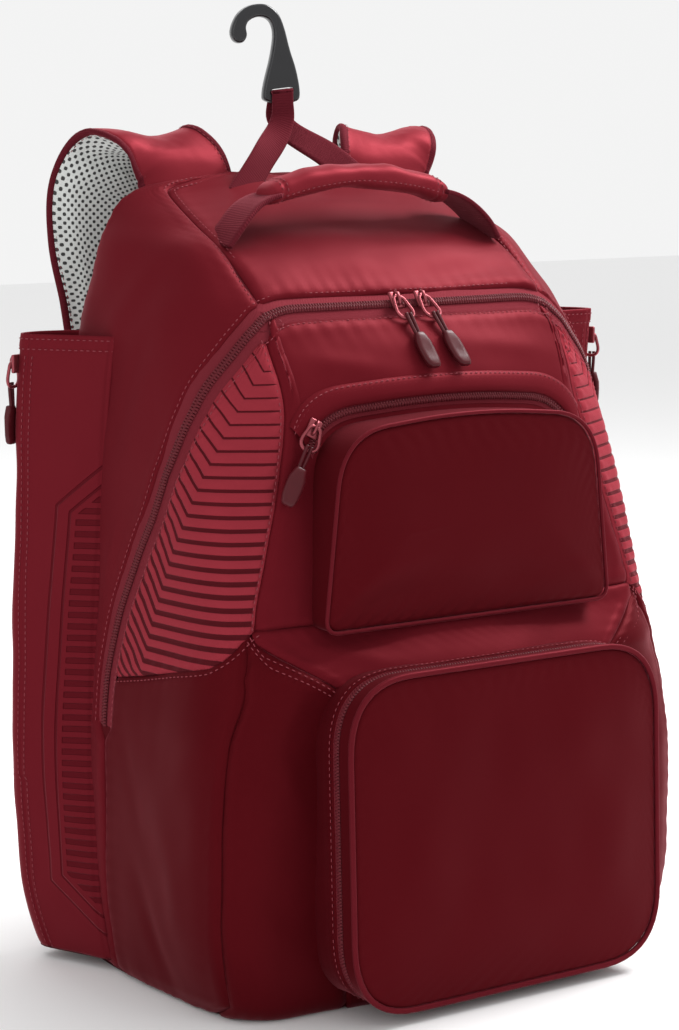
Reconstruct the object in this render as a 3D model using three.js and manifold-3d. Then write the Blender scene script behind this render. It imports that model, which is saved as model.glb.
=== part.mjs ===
// Baseball bat backpack standing on its base, its front towards -Y, in millimetres.
import * as THREE from "three";
import Module from "manifold-3d";

const wasm = await Module();
wasm.setup();

// Overall sizes of the body.
const BODY_HEIGHT = 509;
const BODY_HALF_WIDTH = 188;
const BODY_DEPTH = 240;
const BACK_Y = 84;

// Cloth, and the gap that keeps two pieces apart.
const CLOTH = 2.4;
const POCKET_CLOTH = 2;
const GAP = 0.3;
const BURIED = 30;
const OFFCUT = 150;

// The body's rounding, and how its growth turns into moves of its panel edge and its crown.
const BODY_ROUND = 60;
const MOST_ROUND = 0.48;
const PANEL_GROW = 0.3;
const CROWN_GROW = 1.7;

// Main zip that bounds the front opening.
const ZIP_HALF = 9;
const COIL_HALF = 3;
const COIL_RISE = 1.2;
const TAPE_SUNK = 0.3;
const TAPE_THICK = 1.6;
const COIL_SHORT = 2;

// Pocket on the lid.
const UPPER_TOP_HALF = 99;
const UPPER_BOTTOM_HALF = 112;
const UPPER_TOP = 0.705;
const UPPER_BOTTOM = 0.468;
const UPPER_CROWN = 9;
const UPPER_CORNER = 34;
const UPPER_FOOT_CORNER = 10;
const UPPER_PROUD = 6;
const UPPER_FULL = 6;
const UPPER_ZIP_WIDTH = 12;
const UPPER_ZIP_DROP = 16;
const UPPER_ZIP_SPREAD = 1.06;

// Pocket low on the front.
const LOWER_HALF = 121;
const LOWER_TOP = 0.422;
const LOWER_LIFT = 5;
const LOWER_CORNER = 46;
const LOWER_OUT_TOP = 22;
const LOWER_OUT_BOTTOM = 36;
const LOWER_SEAT_HIGH = 0.38;
const LOWER_SEAT_LOW = 0.1;
const LOWER_FULL = 7;
const FACE_EDGE = 13;
const POCKET_ZIP = 7;

// Both pockets: the roll of their edge, their filling, their corners and their piping.
const EDGE_ROLL = 5;
const FACE_RISE = 40;
const CROWN_REACH = 50;
const CORNER_SHRINK = 0.6;
const LEAST_ROUND = 6;
const PIPING_RADIUS = 2.2;
const PIPING_OUT = 0.36;
const PIPING_BEHIND = 0.27;

// Bat sleeves at the sides.
const SLEEVE_TOP = 0.806;
const SLEEVE_BOTTOM = 0.016;
const SLEEVE_CLOTH = 2;
const SLEEVE_WALL = 80;
const SLEEVE_BULGE = 10;
const SLEEVE_BACK = 0.62;
const SLEEVE_SEAT = 4;
const SLEEVE_ROUND = 26;
const SLEEVE_RIM_CUT = 5;

// Haul handle.
const GRIP_HALF_LENGTH = 72;
const GRIP_THICK = 16;
const GRIP_WIDE = 26;
const GRIP_RISE = 12;
const HANDLE_CLEAR = 24;
const HANDLE_WEB_WIDE = 30;
const HANDLE_WEB_THICK = 3;
const HANDLE_BASE_HALF = 107;
const HANDLE_BACK = 0.42;
const HANDLE_FOOT_FORWARD = 3;
const GRIP_SIDES = 10;
const WEB_SUNK = 4;

// Fence hook and its webbing.
const HOOK_HEIGHT = 66;
const HOOK_THICK = 9;
const HOOK_TURN = -20;
const HOOK_CLEAR = 46;
const HOOK_BACK = 0.07;
const HOOK_SLOT_MIDDLE = 0.124;
const HOOK_SLOT_SLOPE = 0.115;
const HOOK_LEG_SPREAD = 56;
const HOOK_FOOT_BACK = 0.205;
const HOOK_WEB_WIDE = 20;
const HOOK_WEB_FOLDED = 0.72;
const HOOK_WEB_THICK = 2.4;
const HOOK_WEB_DROP = 0.27;
const HOOK_LEG_TURN = 0.75;

// Back pad and shoulder straps.
const PAD_THICK = 9;
const PAD_HALF = 128;
const PAD_LOW = 0.13;
const PAD_HIGH = 0.86;
const PAD_CORNER = 40;
const STRAP_WIDE = 72;
const STRAP_THICK = 13;
const STRAP_EDGE = 5;
const STRAP_REACH = 31;
const STRAP_WEB_WIDE = 25;
const STRAP_WEB_THICK = 2.4;
const STRAP_WEB_SPREAD = 13;
const STRAP_WEB_MIDDLE = 0.25;
const STRAP_WEB_FOOT = 0.07;
const STRAP_WEB_BEND = 20;

// Zip pulls.
const SLIDER_LONG = 12;
const SLIDER_WIDE = 9;
const SLIDER_HIGH = 5;
const SLIDER_CHAMFER = 1.5;
const SLIDER_RISE = 0.5;
const LOOP_WIDE = 15;
const LOOP_LONG = 15;
const WIRE_RADIUS = 1.2;
const CORD_LONG = 14;
const CORD_RADIUS = 1.3;
const TAB_LONG = 25;
const TAB_WIDE = 12;
const TAB_THICK = 5;
const TAB_CHAMFER = 2;
const TAB_OVER = 2;
const TAB_SUNK = 1;
const SLIDER_APART = 10;
const MAIN_PULL_X = -4;
const MAIN_PULL_DROP = 0.085;
const UPPER_PULL_OUT = 1.01;
const UPPER_PULL_ASIDE = 26;
const UPPER_PULL_DROP = 45;
const SLEEVE_PULL = 0.95;

// Ladder buckles of the shoulder straps.
const BUCKLE_WIDE = 34;
const BUCKLE_LONG = 26;
const BUCKLE_THICK = 4;
const BUCKLE_RIM = 4;
const BUCKLE_START = 12;

const named = (columns, rows) =>
  rows.map((row) => Object.fromEntries(columns.map((column, i) => [column, row[i]])));

// Level sections of the body from the floor up. Heights are shares of the height, widths of the
// half width, and depths of the depth as measured forward from the back.
const SECTIONS = named(
  [
    "height", "front", "panelX", "panelY", "shoulderX", "shoulderY",
    "sideX", "sideY", "cornerX", "cornerY", "back", "lean",
  ],
  [
    [0.0, 0.967, 0.798, 0.912, 0.904, 0.8, 0.915, 0.308, 0.851, 0.042, 0.025, 1],
    [0.024, 0.983, 0.84, 0.933, 0.946, 0.838, 0.946, 0.308, 0.872, 0.025, 0.008, 1],
    [0.13, 0.996, 0.878, 0.942, 1.0, 0.871, 0.979, 0.308, 0.894, 0.017, 0.0, 1],
    [0.246, 1.0, 0.878, 0.942, 1.0, 0.863, 0.979, 0.308, 0.894, 0.017, 0.0, 1],
    [0.338, 1.017, 0.851, 0.933, 0.989, 0.85, 0.973, 0.308, 0.888, 0.017, 0.0, 1],
    [0.403, 1.029, 0.771, 0.95, 0.96, 0.829, 0.963, 0.308, 0.878, 0.017, 0.0, 1],
    [0.468, 0.938, 0.803, 0.867, 0.925, 0.8, 0.952, 0.308, 0.872, 0.017, 0.0, 1],
    [0.556, 0.896, 0.739, 0.846, 0.904, 0.775, 0.931, 0.308, 0.867, 0.017, 0.0, 1],
    [0.654, 0.871, 0.66, 0.821, 0.888, 0.708, 0.915, 0.308, 0.862, 0.021, 0.004, 1],
    [0.741, 0.842, 0.612, 0.779, 0.867, 0.65, 0.894, 0.308, 0.851, 0.025, 0.008, 1],
    [0.809, 0.758, 0.622, 0.713, 0.814, 0.592, 0.872, 0.292, 0.84, 0.033, 0.017, 1.3],
    [0.845, 0.688, 0.596, 0.667, 0.782, 0.558, 0.851, 0.275, 0.83, 0.042, 0.025, 1.6],
    [0.872, 0.617, 0.596, 0.6, 0.75, 0.517, 0.83, 0.258, 0.814, 0.05, 0.033, 2],
    [0.916, 0.508, 0.606, 0.475, 0.707, 0.425, 0.793, 0.225, 0.793, 0.067, 0.046, 2],
    [0.943, 0.408, 0.601, 0.35, 0.68, 0.3, 0.75, 0.175, 0.755, 0.075, 0.058, 2],
    [0.969, 0.3, 0.59, 0.233, 0.65, 0.192, 0.702, 0.138, 0.713, 0.092, 0.075, 2],
    [0.984, 0.225, 0.564, 0.163, 0.612, 0.146, 0.633, 0.129, 0.644, 0.113, 0.092, 2],
    [0.994, 0.175, 0.447, 0.142, 0.479, 0.133, 0.5, 0.125, 0.511, 0.113, 0.1, 2],
    [1.0, 0.142, 0.266, 0.129, 0.287, 0.125, 0.303, 0.121, 0.309, 0.113, 0.108, 2],
  ],
);

const lerp = (a, b, t) => a + (b - a) * t;
const yOf = (share) => BACK_Y - share * BODY_DEPTH;

// Rounded corners from a table of reaches, as shares of one size, and numbers of steps.
const roundings = (size, rows) => rows.map(([share, steps]) => ({ reach: share * size, steps }));

// How far each corner of a section is rounded, from the front round one side to the back.
const ROUNDING = roundings(BODY_ROUND, [
  [1, 2],
  [0.267, 1],
  [0.567, 3],
  [0.833, 1],
  [0.4, 1],
  [1, 1],
]);

// The row between two rows of a table at a given value of its first column.
function rowAt(table, column, value) {
  const last = table.length - 1;
  let i = 0;
  while (i < last - 1 && table[i + 1][column] < value) i++;
  const t = THREE.MathUtils.clamp(
    (value - table[i][column]) / (table[i + 1][column] - table[i][column]),
    0,
    1,
  );
  const between = (key) => [key, lerp(table[i][key], table[i + 1][key], t)];
  return Object.fromEntries(Object.keys(table[i]).map(between));
}

// The six corners of half a section, front to back, grown outwards.
function sectionKeys(row, grow) {
  const forward = grow * row.lean;
  return [
    [0, yOf(row.front) - forward],
    [row.panelX * BODY_HALF_WIDTH + PANEL_GROW * grow, yOf(row.panelY) - forward],
    [row.shoulderX * BODY_HALF_WIDTH + grow, yOf(row.shoulderY) - (forward + grow) / 2],
    [row.sideX * BODY_HALF_WIDTH + grow, yOf(row.sideY)],
    [row.cornerX * BODY_HALF_WIDTH + grow, yOf(row.cornerY) + grow],
    [0, yOf(row.back) + grow],
  ];
}

// A closed line through rounded corners; each corner has a reach and a number of steps.
function roundLine(keys, rounding) {
  const towards = (at, other, reach) => {
    const share = Math.min(reach / Math.hypot(other[0] - at[0], other[1] - at[1]), MOST_ROUND);
    return [lerp(at[0], other[0], share), lerp(at[1], other[1], share)];
  };
  const line = [];
  keys.forEach((at, i) => {
    const start = towards(at, keys.at(i - 1), rounding[i].reach);
    const end = towards(at, keys[(i + 1) % keys.length], rounding[i].reach);
    for (let s = 0; s <= rounding[i].steps; s++) {
      const t = s / rounding[i].steps;
      const mix = (k) => lerp(lerp(start[k], at[k], t), lerp(at[k], end[k], t), t);
      line.push([mix(0), mix(1)]);
    }
  });
  return line;
}

function sectionLine(row, grow) {
  const half = sectionKeys(row, grow);
  const other = half.slice(1, 5).reverse().map(([x, y]) => [-x, y]);
  const rounding = [...ROUNDING, ...ROUNDING.slice(1, 5).reverse()];
  return roundLine([...half, ...other], rounding);
}

// A solid from a list of corners and triangles, turned to face outwards.
function solidOf(points, triangles) {
  let volume = 0;
  for (const [a, b, c] of triangles) {
    const [p, q, r] = [points[a], points[b], points[c]].map((v) => new THREE.Vector3(...v));
    volume += p.dot(q.cross(r));
  }
  const faces = volume < 0 ? triangles.map(([a, b, c]) => [a, c, b]) : triangles;
  return new wasm.Manifold(
    new wasm.Mesh({
      numProp: 3,
      vertProperties: new Float32Array(points.flat()),
      triVerts: new Uint32Array(faces.flat()),
    }),
  );
}

// A solid through closed rings of the same number of corners, capped at both ends.
function loft(rings) {
  const count = rings[0].length;
  const points = rings.flat();
  const triangles = [];
  for (let i = 0; i + 1 < rings.length; i++)
    for (let j = 0; j < count; j++) {
      const a = i * count + j;
      const b = i * count + ((j + 1) % count);
      triangles.push([a, b, b + count], [a, b + count, a + count]);
    }
  for (const [at, turned] of [
    [0, true],
    [rings.length - 1, false],
  ]) {
    const ring = rings[at];
    const middle = [0, 1, 2].map((k) => ring.reduce((sum, p) => sum + p[k], 0) / count);
    points.push(middle);
    const m = points.length - 1;
    for (let j = 0; j < count; j++) {
      const a = at * count + j;
      const b = at * count + ((j + 1) % count);
      triangles.push(turned ? [m, b, a] : [m, a, b]);
    }
  }
  return solidOf(points, triangles);
}

// A flat outline swept between two positions; place turns an outline's corner and a position into
// a point.
function prism(outline, from, to, place) {
  const flat = outline.map(([a, b]) => new THREE.Vector2(a, b));
  const count = flat.length;
  const triangles = [];
  for (const [a, b, c] of THREE.ShapeUtils.triangulateShape(flat, [])) {
    triangles.push([a, c, b]);
    triangles.push([a + count, b + count, c + count]);
  }
  const turned = THREE.ShapeUtils.isClockWise(flat);
  for (let j = 0; j < count; j++) {
    const k = (j + 1) % count;
    const quad = [
      [j, k, k + count],
      [j, k + count, j + count],
    ];
    triangles.push(...(turned ? quad.map(([a, b, c]) => [a, c, b]) : quad));
  }
  const points = [from, to].flatMap((at) => outline.map((p) => place(p, at)));
  return solidOf(points, triangles);
}

const alongX = ([y, z], x) => [x, y, z];
const alongY = ([x, z], y) => [x, y, z];

// The body as a full solid, grown outwards or, with a negative value, shrunk to its inner face.
function bodySolid(grow) {
  const rows = grow < -GAP ? SECTIONS.slice(0, -1) : SECTIONS;
  const last = rows.length - 1;
  return loft(
    rows.map((row, i) => {
      const lift = i === 0 ? -grow : i === last ? CROWN_GROW * grow : 0;
      return sectionLine(row, grow).map(([x, y]) => [x, y, row.height * BODY_HEIGHT + lift]);
    }),
  );
}

// A line moved sideways by a distance, with its ends moved along it by another.
function besideLine(line, distance, extend = 0) {
  return line.map(([a, b], i) => {
    const p = line[Math.max(i - 1, 0)];
    const q = line[Math.min(i + 1, line.length - 1)];
    const length = Math.hypot(q[0] - p[0], q[1] - p[1]);
    const [u, v] = [(q[0] - p[0]) / length, (q[1] - p[1]) / length];
    const along = i === 0 ? -extend : i === line.length - 1 ? extend : 0;
    return [a - v * distance + u * along, b + u * distance + v * along];
  });
}

// Where the main zip runs in the side view, from the front over the corner and down the side.
const ZIP_LINE = named(
  ["depth", "height"],
  [
    [1.25, 0.846],
    [0.72, 0.846],
    [0.672, 0.836],
    [0.672, 0.802],
    [0.65, 0.758],
    [0.625, 0.715],
    [0.57, 0.648],
    [0.48, 0.562],
    [0.392, 0.47],
    [0.345, 0.39],
    [0.338, 0.325],
  ],
).map((row) => [yOf(row.depth), row.height * BODY_HEIGHT]);

const zipBand = (half, extend) => [
  ...besideLine(ZIP_LINE, half, extend),
  ...besideLine(ZIP_LINE, -half, extend).reverse(),
];

// The front opening in the side view, closed below by the lower edge of the side gussets.
const OPENING_FOOT = named(
  ["depth", "height"],
  [
    [0.36, 0.388],
    [0.62, 0.432],
    [0.867, 0.474],
    [1.25, 0.474],
  ],
).map((row) => [yOf(row.depth), row.height * BODY_HEIGHT]);
const OPENING = [...ZIP_LINE.slice(0, -2), ...OPENING_FOOT];

// Half widths in the front view: the edge of the lid's centre panel, the crease of the lower
// body and the slanting seam between them.
const PANEL_EDGE = named(
  ["height", "half"],
  [
    [0.47, 0.806],
    [0.556, 0.739],
    [0.654, 0.66],
    [0.741, 0.612],
    [0.809, 0.622],
    [0.86, 0.622],
  ],
);
const CREASE = named(
  ["height", "half"],
  [
    [0.02, 0.905],
    [0.13, 0.962],
    [0.246, 0.955],
    [0.338, 0.925],
    [0.42, 0.86],
    [0.474, 0.806],
  ],
);
const YOKE_EDGE = named(
  ["height", "half"],
  [
    [0.36, 0.5],
    [0.403, 0.569],
    [0.474, 0.806],
  ],
);

const mirrored = (table) => {
  const side = table.map((row) => [row.half * BODY_HALF_WIDTH, row.height * BODY_HEIGHT]);
  return [...side, ...side.map(([x, z]) => [-x, z]).reverse()];
};

const FRONT = -2 * BODY_DEPTH;
const frontPrism = (outline, back = yOf(0.5)) => prism(outline, FRONT, back, alongY);
const sidePrism = (outline, half = 2 * BODY_HALF_WIDTH) => prism(outline, -half, half, alongX);

const body = bodySolid(0);
const inside = bodySolid(-CLOTH);
const clear = bodySolid(GAP);
const shell = body.subtract(inside);

const zipGap = sidePrism(zipBand(ZIP_HALF, 0));
const opening = sidePrism(OPENING);
const lowerFront = frontPrism(mirrored(CREASE));
const yokeCut = frontPrism(mirrored(YOKE_EDGE));
const panelCut = frontPrism(mirrored(PANEL_EDGE));

// A closed line moved inwards, or outwards with a negative distance, as seen anticlockwise.
function insetLine(line, distance) {
  const normal = (m, n) => {
    const length = Math.hypot(n[0] - m[0], n[1] - m[1]);
    return [-(n[1] - m[1]) / length, (n[0] - m[0]) / length];
  };
  return line.map(([a, b], i) => {
    const before = normal(line.at(i - 1), [a, b]);
    const after = normal([a, b], line[(i + 1) % line.length]);
    const cosine = before[0] * after[0] + before[1] * after[1];
    const scale = distance / Math.max(1 + cosine, 0.4);
    return [a + (before[0] + after[0]) * scale, b + (before[1] + after[1]) * scale];
  });
}

// An outline moved in by the gap, so that it clears what the plain outline cut.
function lessGap(outline) {
  const turned = THREE.ShapeUtils.isClockWise(outline.map(([a, b]) => new THREE.Vector2(a, b)));
  return insetLine(outline, turned ? -GAP : GAP);
}

// The shell's own panels: a back, a base tray, a hood between its two side seams, and the sides.
const BACK_SEAM = named(
  ["depth", "height"],
  [
    [0.05, -0.02],
    [0.05, 0.845],
    [0.108, 0.969],
    [0.125, 1.05],
    [-0.5, 1.05],
    [-0.5, -0.02],
  ],
).map((row) => [yOf(row.depth), row.height * BODY_HEIGHT]);
const BASE_HEIGHT = CREASE[0].height * BODY_HEIGHT;
const HOOD_HALF = 0.6 * BODY_HALF_WIDTH;
const HOOD_FOOT = 0.84 * BODY_HEIGHT;
const rectangle = (half, low, high) => [
  [-half, low],
  [half, low],
  [half, high],
  [-half, high],
];
const backSeam = sidePrism(BACK_SEAM);
const baseSlab = frontPrism(rectangle(2 * BODY_HALF_WIDTH, -BURIED, BASE_HEIGHT), 2 * BODY_DEPTH);
const overBase = frontPrism(rectangle(2 * BODY_HALF_WIDTH, -BURIED, BASE_HEIGHT + GAP), 2 * BODY_DEPTH);
const hoodOutline = rectangle(HOOD_HALF, HOOD_FOOT, BODY_HEIGHT + BURIED);
const seamed = shell.subtract(zipGap).subtract(opening).subtract(lowerFront);
const basePanel = seamed.intersect(baseSlab);
const backPanel = seamed.intersect(sidePrism(lessGap(BACK_SEAM))).subtract(overBase);
const hoodPanel = seamed
  .intersect(frontPrism(lessGap(hoodOutline), 2 * BODY_DEPTH))
  .subtract(backSeam);
const sides = seamed
  .subtract(overBase)
  .subtract(backSeam)
  .subtract(frontPrism(hoodOutline, 2 * BODY_DEPTH));
const zipClear = sidePrism(zipBand(ZIP_HALF, GAP));
const lid = shell.intersect(sidePrism(lessGap(OPENING))).subtract(zipClear);
const centrePanel = lid.intersect(frontPrism(lessGap(mirrored(PANEL_EDGE))));
const gussets = lid.subtract(panelCut);
const lowerPanel = shell
  .intersect(frontPrism(lessGap(mirrored(CREASE))))
  .subtract(yokeCut)
  .subtract(opening);
const yoke = shell.intersect(frontPrism(lessGap(mirrored(YOKE_EDGE)))).subtract(opening);

const group = new THREE.Group();

function add(name, solid, colour, roughness, metalness = 0) {
  const made = solid.getMesh();
  const count = made.numVert;
  const positions = new Float32Array(count * 3);
  for (let i = 0; i < count; i++)
    for (let k = 0; k < 3; k++) positions[3 * i + k] = made.vertProperties[i * made.numProp + k];
  const geometry = new THREE.BufferGeometry();
  geometry.setAttribute("position", new THREE.BufferAttribute(positions, 3));
  geometry.setIndex(new THREE.BufferAttribute(made.triVerts, 1));
  const material = new THREE.MeshStandardMaterial({ color: colour, roughness, metalness });
  const mesh = new THREE.Mesh(geometry, material);
  mesh.name = name;
  group.add(mesh);
}

const RED = 0x7a1c28;
const DARK_RED = 0x5e1420;
const GUSSET_RED = 0x93303c;
const WEB_RED = 0x70202e;
const METAL_RED = 0x8a4048;
const BLACK = 0x1e1e20;
const MESH_GREY = 0x2a2a2c;

// A solid's bodies from left to right without its offcuts, and the largest of them.
const bodies = (solid) =>
  solid
    .decompose()
    .filter((piece) => piece.volume() > OFFCUT)
    .sort((a, b) => a.boundingBox().min[0] - b.boundingBox().min[0]);
const whole = (solid) => bodies(solid).sort((a, b) => b.volume() - a.volume())[0];

// Where the body's surface lies: the front at a height and an offset from the middle, the side at
// a height and a depth, and the hood at an offset and a depth.
function frontAt(x, z) {
  const keys = sectionKeys(rowAt(SECTIONS, "height", z / BODY_HEIGHT), 0);
  const i = Math.abs(x) < keys[1][0] ? 0 : 1;
  const share = (Math.abs(x) - keys[i][0]) / (keys[i + 1][0] - keys[i][0]);
  return lerp(keys[i][1], keys[i + 1][1], share);
}
function sideAt(y, z) {
  const keys = sectionKeys(rowAt(SECTIONS, "height", z / BODY_HEIGHT), 0);
  const i = y < keys[3][1] ? 2 : 3;
  return lerp(keys[i][0], keys[i + 1][0], (y - keys[i][1]) / (keys[i + 1][1] - keys[i][1]));
}
function hoodAt(x, y) {
  let [low, high] = [0.8 * BODY_HEIGHT, BODY_HEIGHT];
  for (let i = 0; i < 30; i++) {
    const middle = (low + high) / 2;
    if (frontAt(x, middle) < y) low = middle;
    else high = middle;
  }
  return low;
}
const outOfFront = (x, z) => [
  frontAt(x + 1, z) - frontAt(x - 1, z),
  -2,
  frontAt(x, z + 1) - frontAt(x, z - 1),
];
const backAt = (z) => yOf(rowAt(SECTIONS, "height", z / BODY_HEIGHT).back);

// A layer over the body between two heights above its surface, cut to an outline.
const layer = (from, to, cutter) => bodySolid(to).subtract(bodySolid(from)).intersect(cutter);

// Main zip: a sunk tape with a raised coil along its middle.
const tapeBand = sidePrism(zipBand(ZIP_HALF - GAP, -GAP));
const coilBand = sidePrism(zipBand(COIL_HALF, -COIL_SHORT));
const tape = layer(-TAPE_SUNK - TAPE_THICK, -TAPE_SUNK, tapeBand);
const coil = layer(-TAPE_SUNK - TAPE_THICK / 2, COIL_RISE, coilBand);
const mainZip = tape.add(coil);

// A pocket's outline in the front view: a tapered rectangle with rounded corners and a crowned
// top, moved in by inset.
function pocketOutline(size, inset) {
  const reach = (plain) => Math.max(plain - CORNER_SHRINK * inset, LEAST_ROUND);
  const corner = { reach: reach(size.corner), steps: 4 };
  const foot = { reach: reach(size.footCorner), steps: 3 };
  const crown = { reach: CROWN_REACH, steps: 2 };
  const keys = [
    [-size.bottomHalf + inset, size.bottom + inset],
    [size.bottomHalf - inset, size.bottom + inset],
    [size.topHalf - inset, size.top - inset],
    [0, size.top + size.crown - inset],
    [-size.topHalf + inset, size.top - inset],
  ];
  return roundLine(keys, [foot, foot, corner, crown, corner]);
}

// A pocket solid in rows of inset and distance behind its face.
const pocketSolid = (size, rows) =>
  loft(
    rows.map(([inset, behind]) =>
      pocketOutline(size, inset).map(([x, z]) => [x, size.face(z) + behind, z]),
    ),
  );

// A pocket's face: its edge rolls over and its middle is full, with the cloth's thickness taken off.
const faceRows = (edge, full, cloth) => [
  [cloth, edge],
  [cloth, EDGE_ROLL],
  [0.3 * EDGE_ROLL + cloth, 0.24 * EDGE_ROLL + cloth],
  [EDGE_ROLL + cloth, cloth],
  [FACE_RISE, cloth - full],
];
const pocketFace = (size, edge, full) =>
  pocketSolid(size, faceRows(edge, full, 0)).subtract(
    pocketSolid(size, faceRows(edge + 2 * BURIED, full, POCKET_CLOTH)),
  );

const pocketBand = (size, inset, from, to) =>
  pocketSolid(size, [
    [inset, from],
    [inset, to],
  ]).subtract(
    pocketSolid(size, [
      [inset + POCKET_CLOTH, from - EDGE_ROLL],
      [inset + POCKET_CLOTH, to + EDGE_ROLL],
    ]),
  );

// A closed tube along a closed line of points.
function tubeRound(points, radius, sides = 6) {
  const path = points.map((p) => new THREE.Vector3(...p));
  const rings = path.map((p, i) => {
    const along = path[(i + 1) % path.length].clone().sub(path.at(i - 1)).normalize();
    const out = new THREE.Vector3(0, 1, 0).cross(along).normalize();
    const other = along.clone().cross(out);
    return Array.from({ length: sides }, (_, k) => {
      const turn = (2 * Math.PI * k) / sides;
      return p
        .clone()
        .addScaledVector(out, radius * Math.cos(turn))
        .addScaledVector(other, radius * Math.sin(turn))
        .toArray();
    });
  });
  const count = rings.length;
  const triangles = [];
  for (let i = 0; i < count; i++)
    for (let k = 0; k < sides; k++) {
      const [a, b] = [i * sides + k, i * sides + ((k + 1) % sides)];
      const [c, d] = [a, b].map((v) => (v + sides) % (count * sides));
      triangles.push([a, b, d], [a, d, c]);
    }
  return solidOf(rings.flat(), triangles);
}

function pocketPiping(size, grow = 0) {
  const behind = PIPING_BEHIND * PIPING_RADIUS;
  const line = pocketOutline(size, -PIPING_OUT * PIPING_RADIUS);
  return tubeRound(
    line.map(([x, z]) => [x, size.face(z) + behind, z]),
    PIPING_RADIUS + grow,
  );
}

const lowerPocket = {
  bottomHalf: LOWER_HALF,
  topHalf: LOWER_HALF,
  bottom: LOWER_LIFT + 1.8 * PIPING_RADIUS,
  top: LOWER_TOP * BODY_HEIGHT,
  crown: 0,
  corner: LOWER_CORNER,
  footCorner: LOWER_CORNER,
  face: (z) =>
    lerp(
      frontAt(0, LOWER_SEAT_LOW * BODY_HEIGHT) - LOWER_OUT_BOTTOM,
      frontAt(0, LOWER_SEAT_HIGH * BODY_HEIGHT) - LOWER_OUT_TOP,
      z / (LOWER_TOP * BODY_HEIGHT),
    ),
};
const upperPocket = {
  bottomHalf: UPPER_BOTTOM_HALF,
  topHalf: UPPER_TOP_HALF,
  bottom: UPPER_BOTTOM * BODY_HEIGHT,
  top: UPPER_TOP * BODY_HEIGHT,
  crown: UPPER_CROWN,
  corner: UPPER_CORNER,
  footCorner: UPPER_FOOT_CORNER,
  face: () => frontAt(0, UPPER_BOTTOM * BODY_HEIGHT) - UPPER_PROUD,
};

const lowerPiping = pocketPiping(lowerPocket);
const upperPiping = pocketPiping(upperPocket);
const lowerFace = pocketFace(lowerPocket, FACE_EDGE, LOWER_FULL).subtract(
  pocketPiping(lowerPocket, GAP),
);
const zipBehind = FACE_EDGE + POCKET_ZIP;
const lowerZip = pocketBand(lowerPocket, POCKET_CLOTH / 2, FACE_EDGE + GAP, zipBehind);
const lowerGusset = pocketBand(lowerPocket, 0, zipBehind + GAP, zipBehind + BURIED).subtract(clear);
const upperFace = pocketFace(upperPocket, 2 * BURIED, UPPER_FULL)
  .subtract(clear)
  .subtract(pocketPiping(upperPocket, GAP));

// The zip above the upper pocket lies on the lid along the pocket's top.
const stripLow = pocketOutline(upperPocket, -1.8 * PIPING_RADIUS - 2 * GAP).filter(
  ([, z]) => z > upperPocket.top - UPPER_ZIP_DROP,
);
const stripHigh = stripLow.map(([x, z]) => [UPPER_ZIP_SPREAD * x, z + UPPER_ZIP_WIDTH]);
const zipStrip = layer(GAP, POCKET_CLOTH, frontPrism([...stripLow, ...stripHigh.reverse()]));

// Bat sleeves: a cloth wall that leaves the side, turns at an outer edge and comes back to the
// body's rear corner, with a floor. Splay is the front wall's angle out of the side-to-side line,
// in degrees; wall and bulge are shares of their named sizes.
const SLEEVE_ROWS = ["height", "start", "splay", "wall", "bulge"];
const SLEEVE_LEFT = named(SLEEVE_ROWS, [
  [0.0, 0.31, 68, 0.75, 0.5],
  [0.12, 0.3, 66, 0.825, 0.8],
  [0.42, 0.27, 50, 0.725, 0.8],
  [0.65, 0.27, 52, 0.775, 0.9],
  [1.0, 0.28, 54, 0.85, 1.0],
]);
const SLEEVE_RIGHT = named(SLEEVE_ROWS, [
  [0.0, 0.31, 68, 0.75, 0.5],
  [0.12, 0.3, 62, 0.825, 0.8],
  [0.42, 0.27, 40, 0.825, 0.8],
  [0.7, 0.27, 16, 0.925, 0.9],
  [1.0, 0.28, 3, 1.0, 1.0],
]);

// The sleeve's outline at one height as corners on the right-hand side.
function sleeveKeys(row, z) {
  const startY = yOf(row.start);
  const start = [sideAt(startY, z), startY];
  const turn = THREE.MathUtils.degToRad(row.splay);
  const wall = row.wall * SLEEVE_WALL;
  const edge = [start[0] + wall * Math.cos(turn), start[1] + wall * Math.sin(turn)];
  const corner = sectionKeys(rowAt(SECTIONS, "height", z / BODY_HEIGHT), 0)[4];
  const end = [corner[0], corner[1] - SLEEVE_SEAT];
  const back = [
    lerp(end[0], edge[0], SLEEVE_BACK),
    Math.max(end[1], edge[1]) + SLEEVE_BULGE * row.bulge,
  ];
  const buried = [
    [start[0] - BURIED, start[1]],
    [end[0] - BURIED, end[1] - BURIED],
  ];
  return [buried[0], start, edge, back, end, buried[1]];
}
const SLEEVE_ROUNDING = roundings(SLEEVE_ROUND, [
  [0.04, 1],
  [0.46, 1],
  [0.46, 2],
  [1, 2],
  [0.385, 1],
  [0.04, 1],
]);

// A sleeve's outer form as a full solid, grown outwards.
function sleeveForm(table, side, inset, floor, rim) {
  const [low, high] = [SLEEVE_BOTTOM * BODY_HEIGHT, SLEEVE_TOP * BODY_HEIGHT];
  return loft(
    table.map((row, i) => {
      const z = lerp(low, high, row.height);
      const end = i === 0 ? floor : i === table.length - 1 ? rim : 0;
      const line = insetLine(roundLine(sleeveKeys(row, z), SLEEVE_ROUNDING), inset);
      return line.map(([x, y]) => [side * x, y, z + end]);
    }),
  );
}
const sleeve = (table, side) =>
  whole(
    sleeveForm(table, side, 0, 0, 0)
      .subtract(sleeveForm(table, side, SLEEVE_CLOTH, SLEEVE_CLOTH, SLEEVE_RIM_CUT))
      .subtract(clear),
  );

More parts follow.
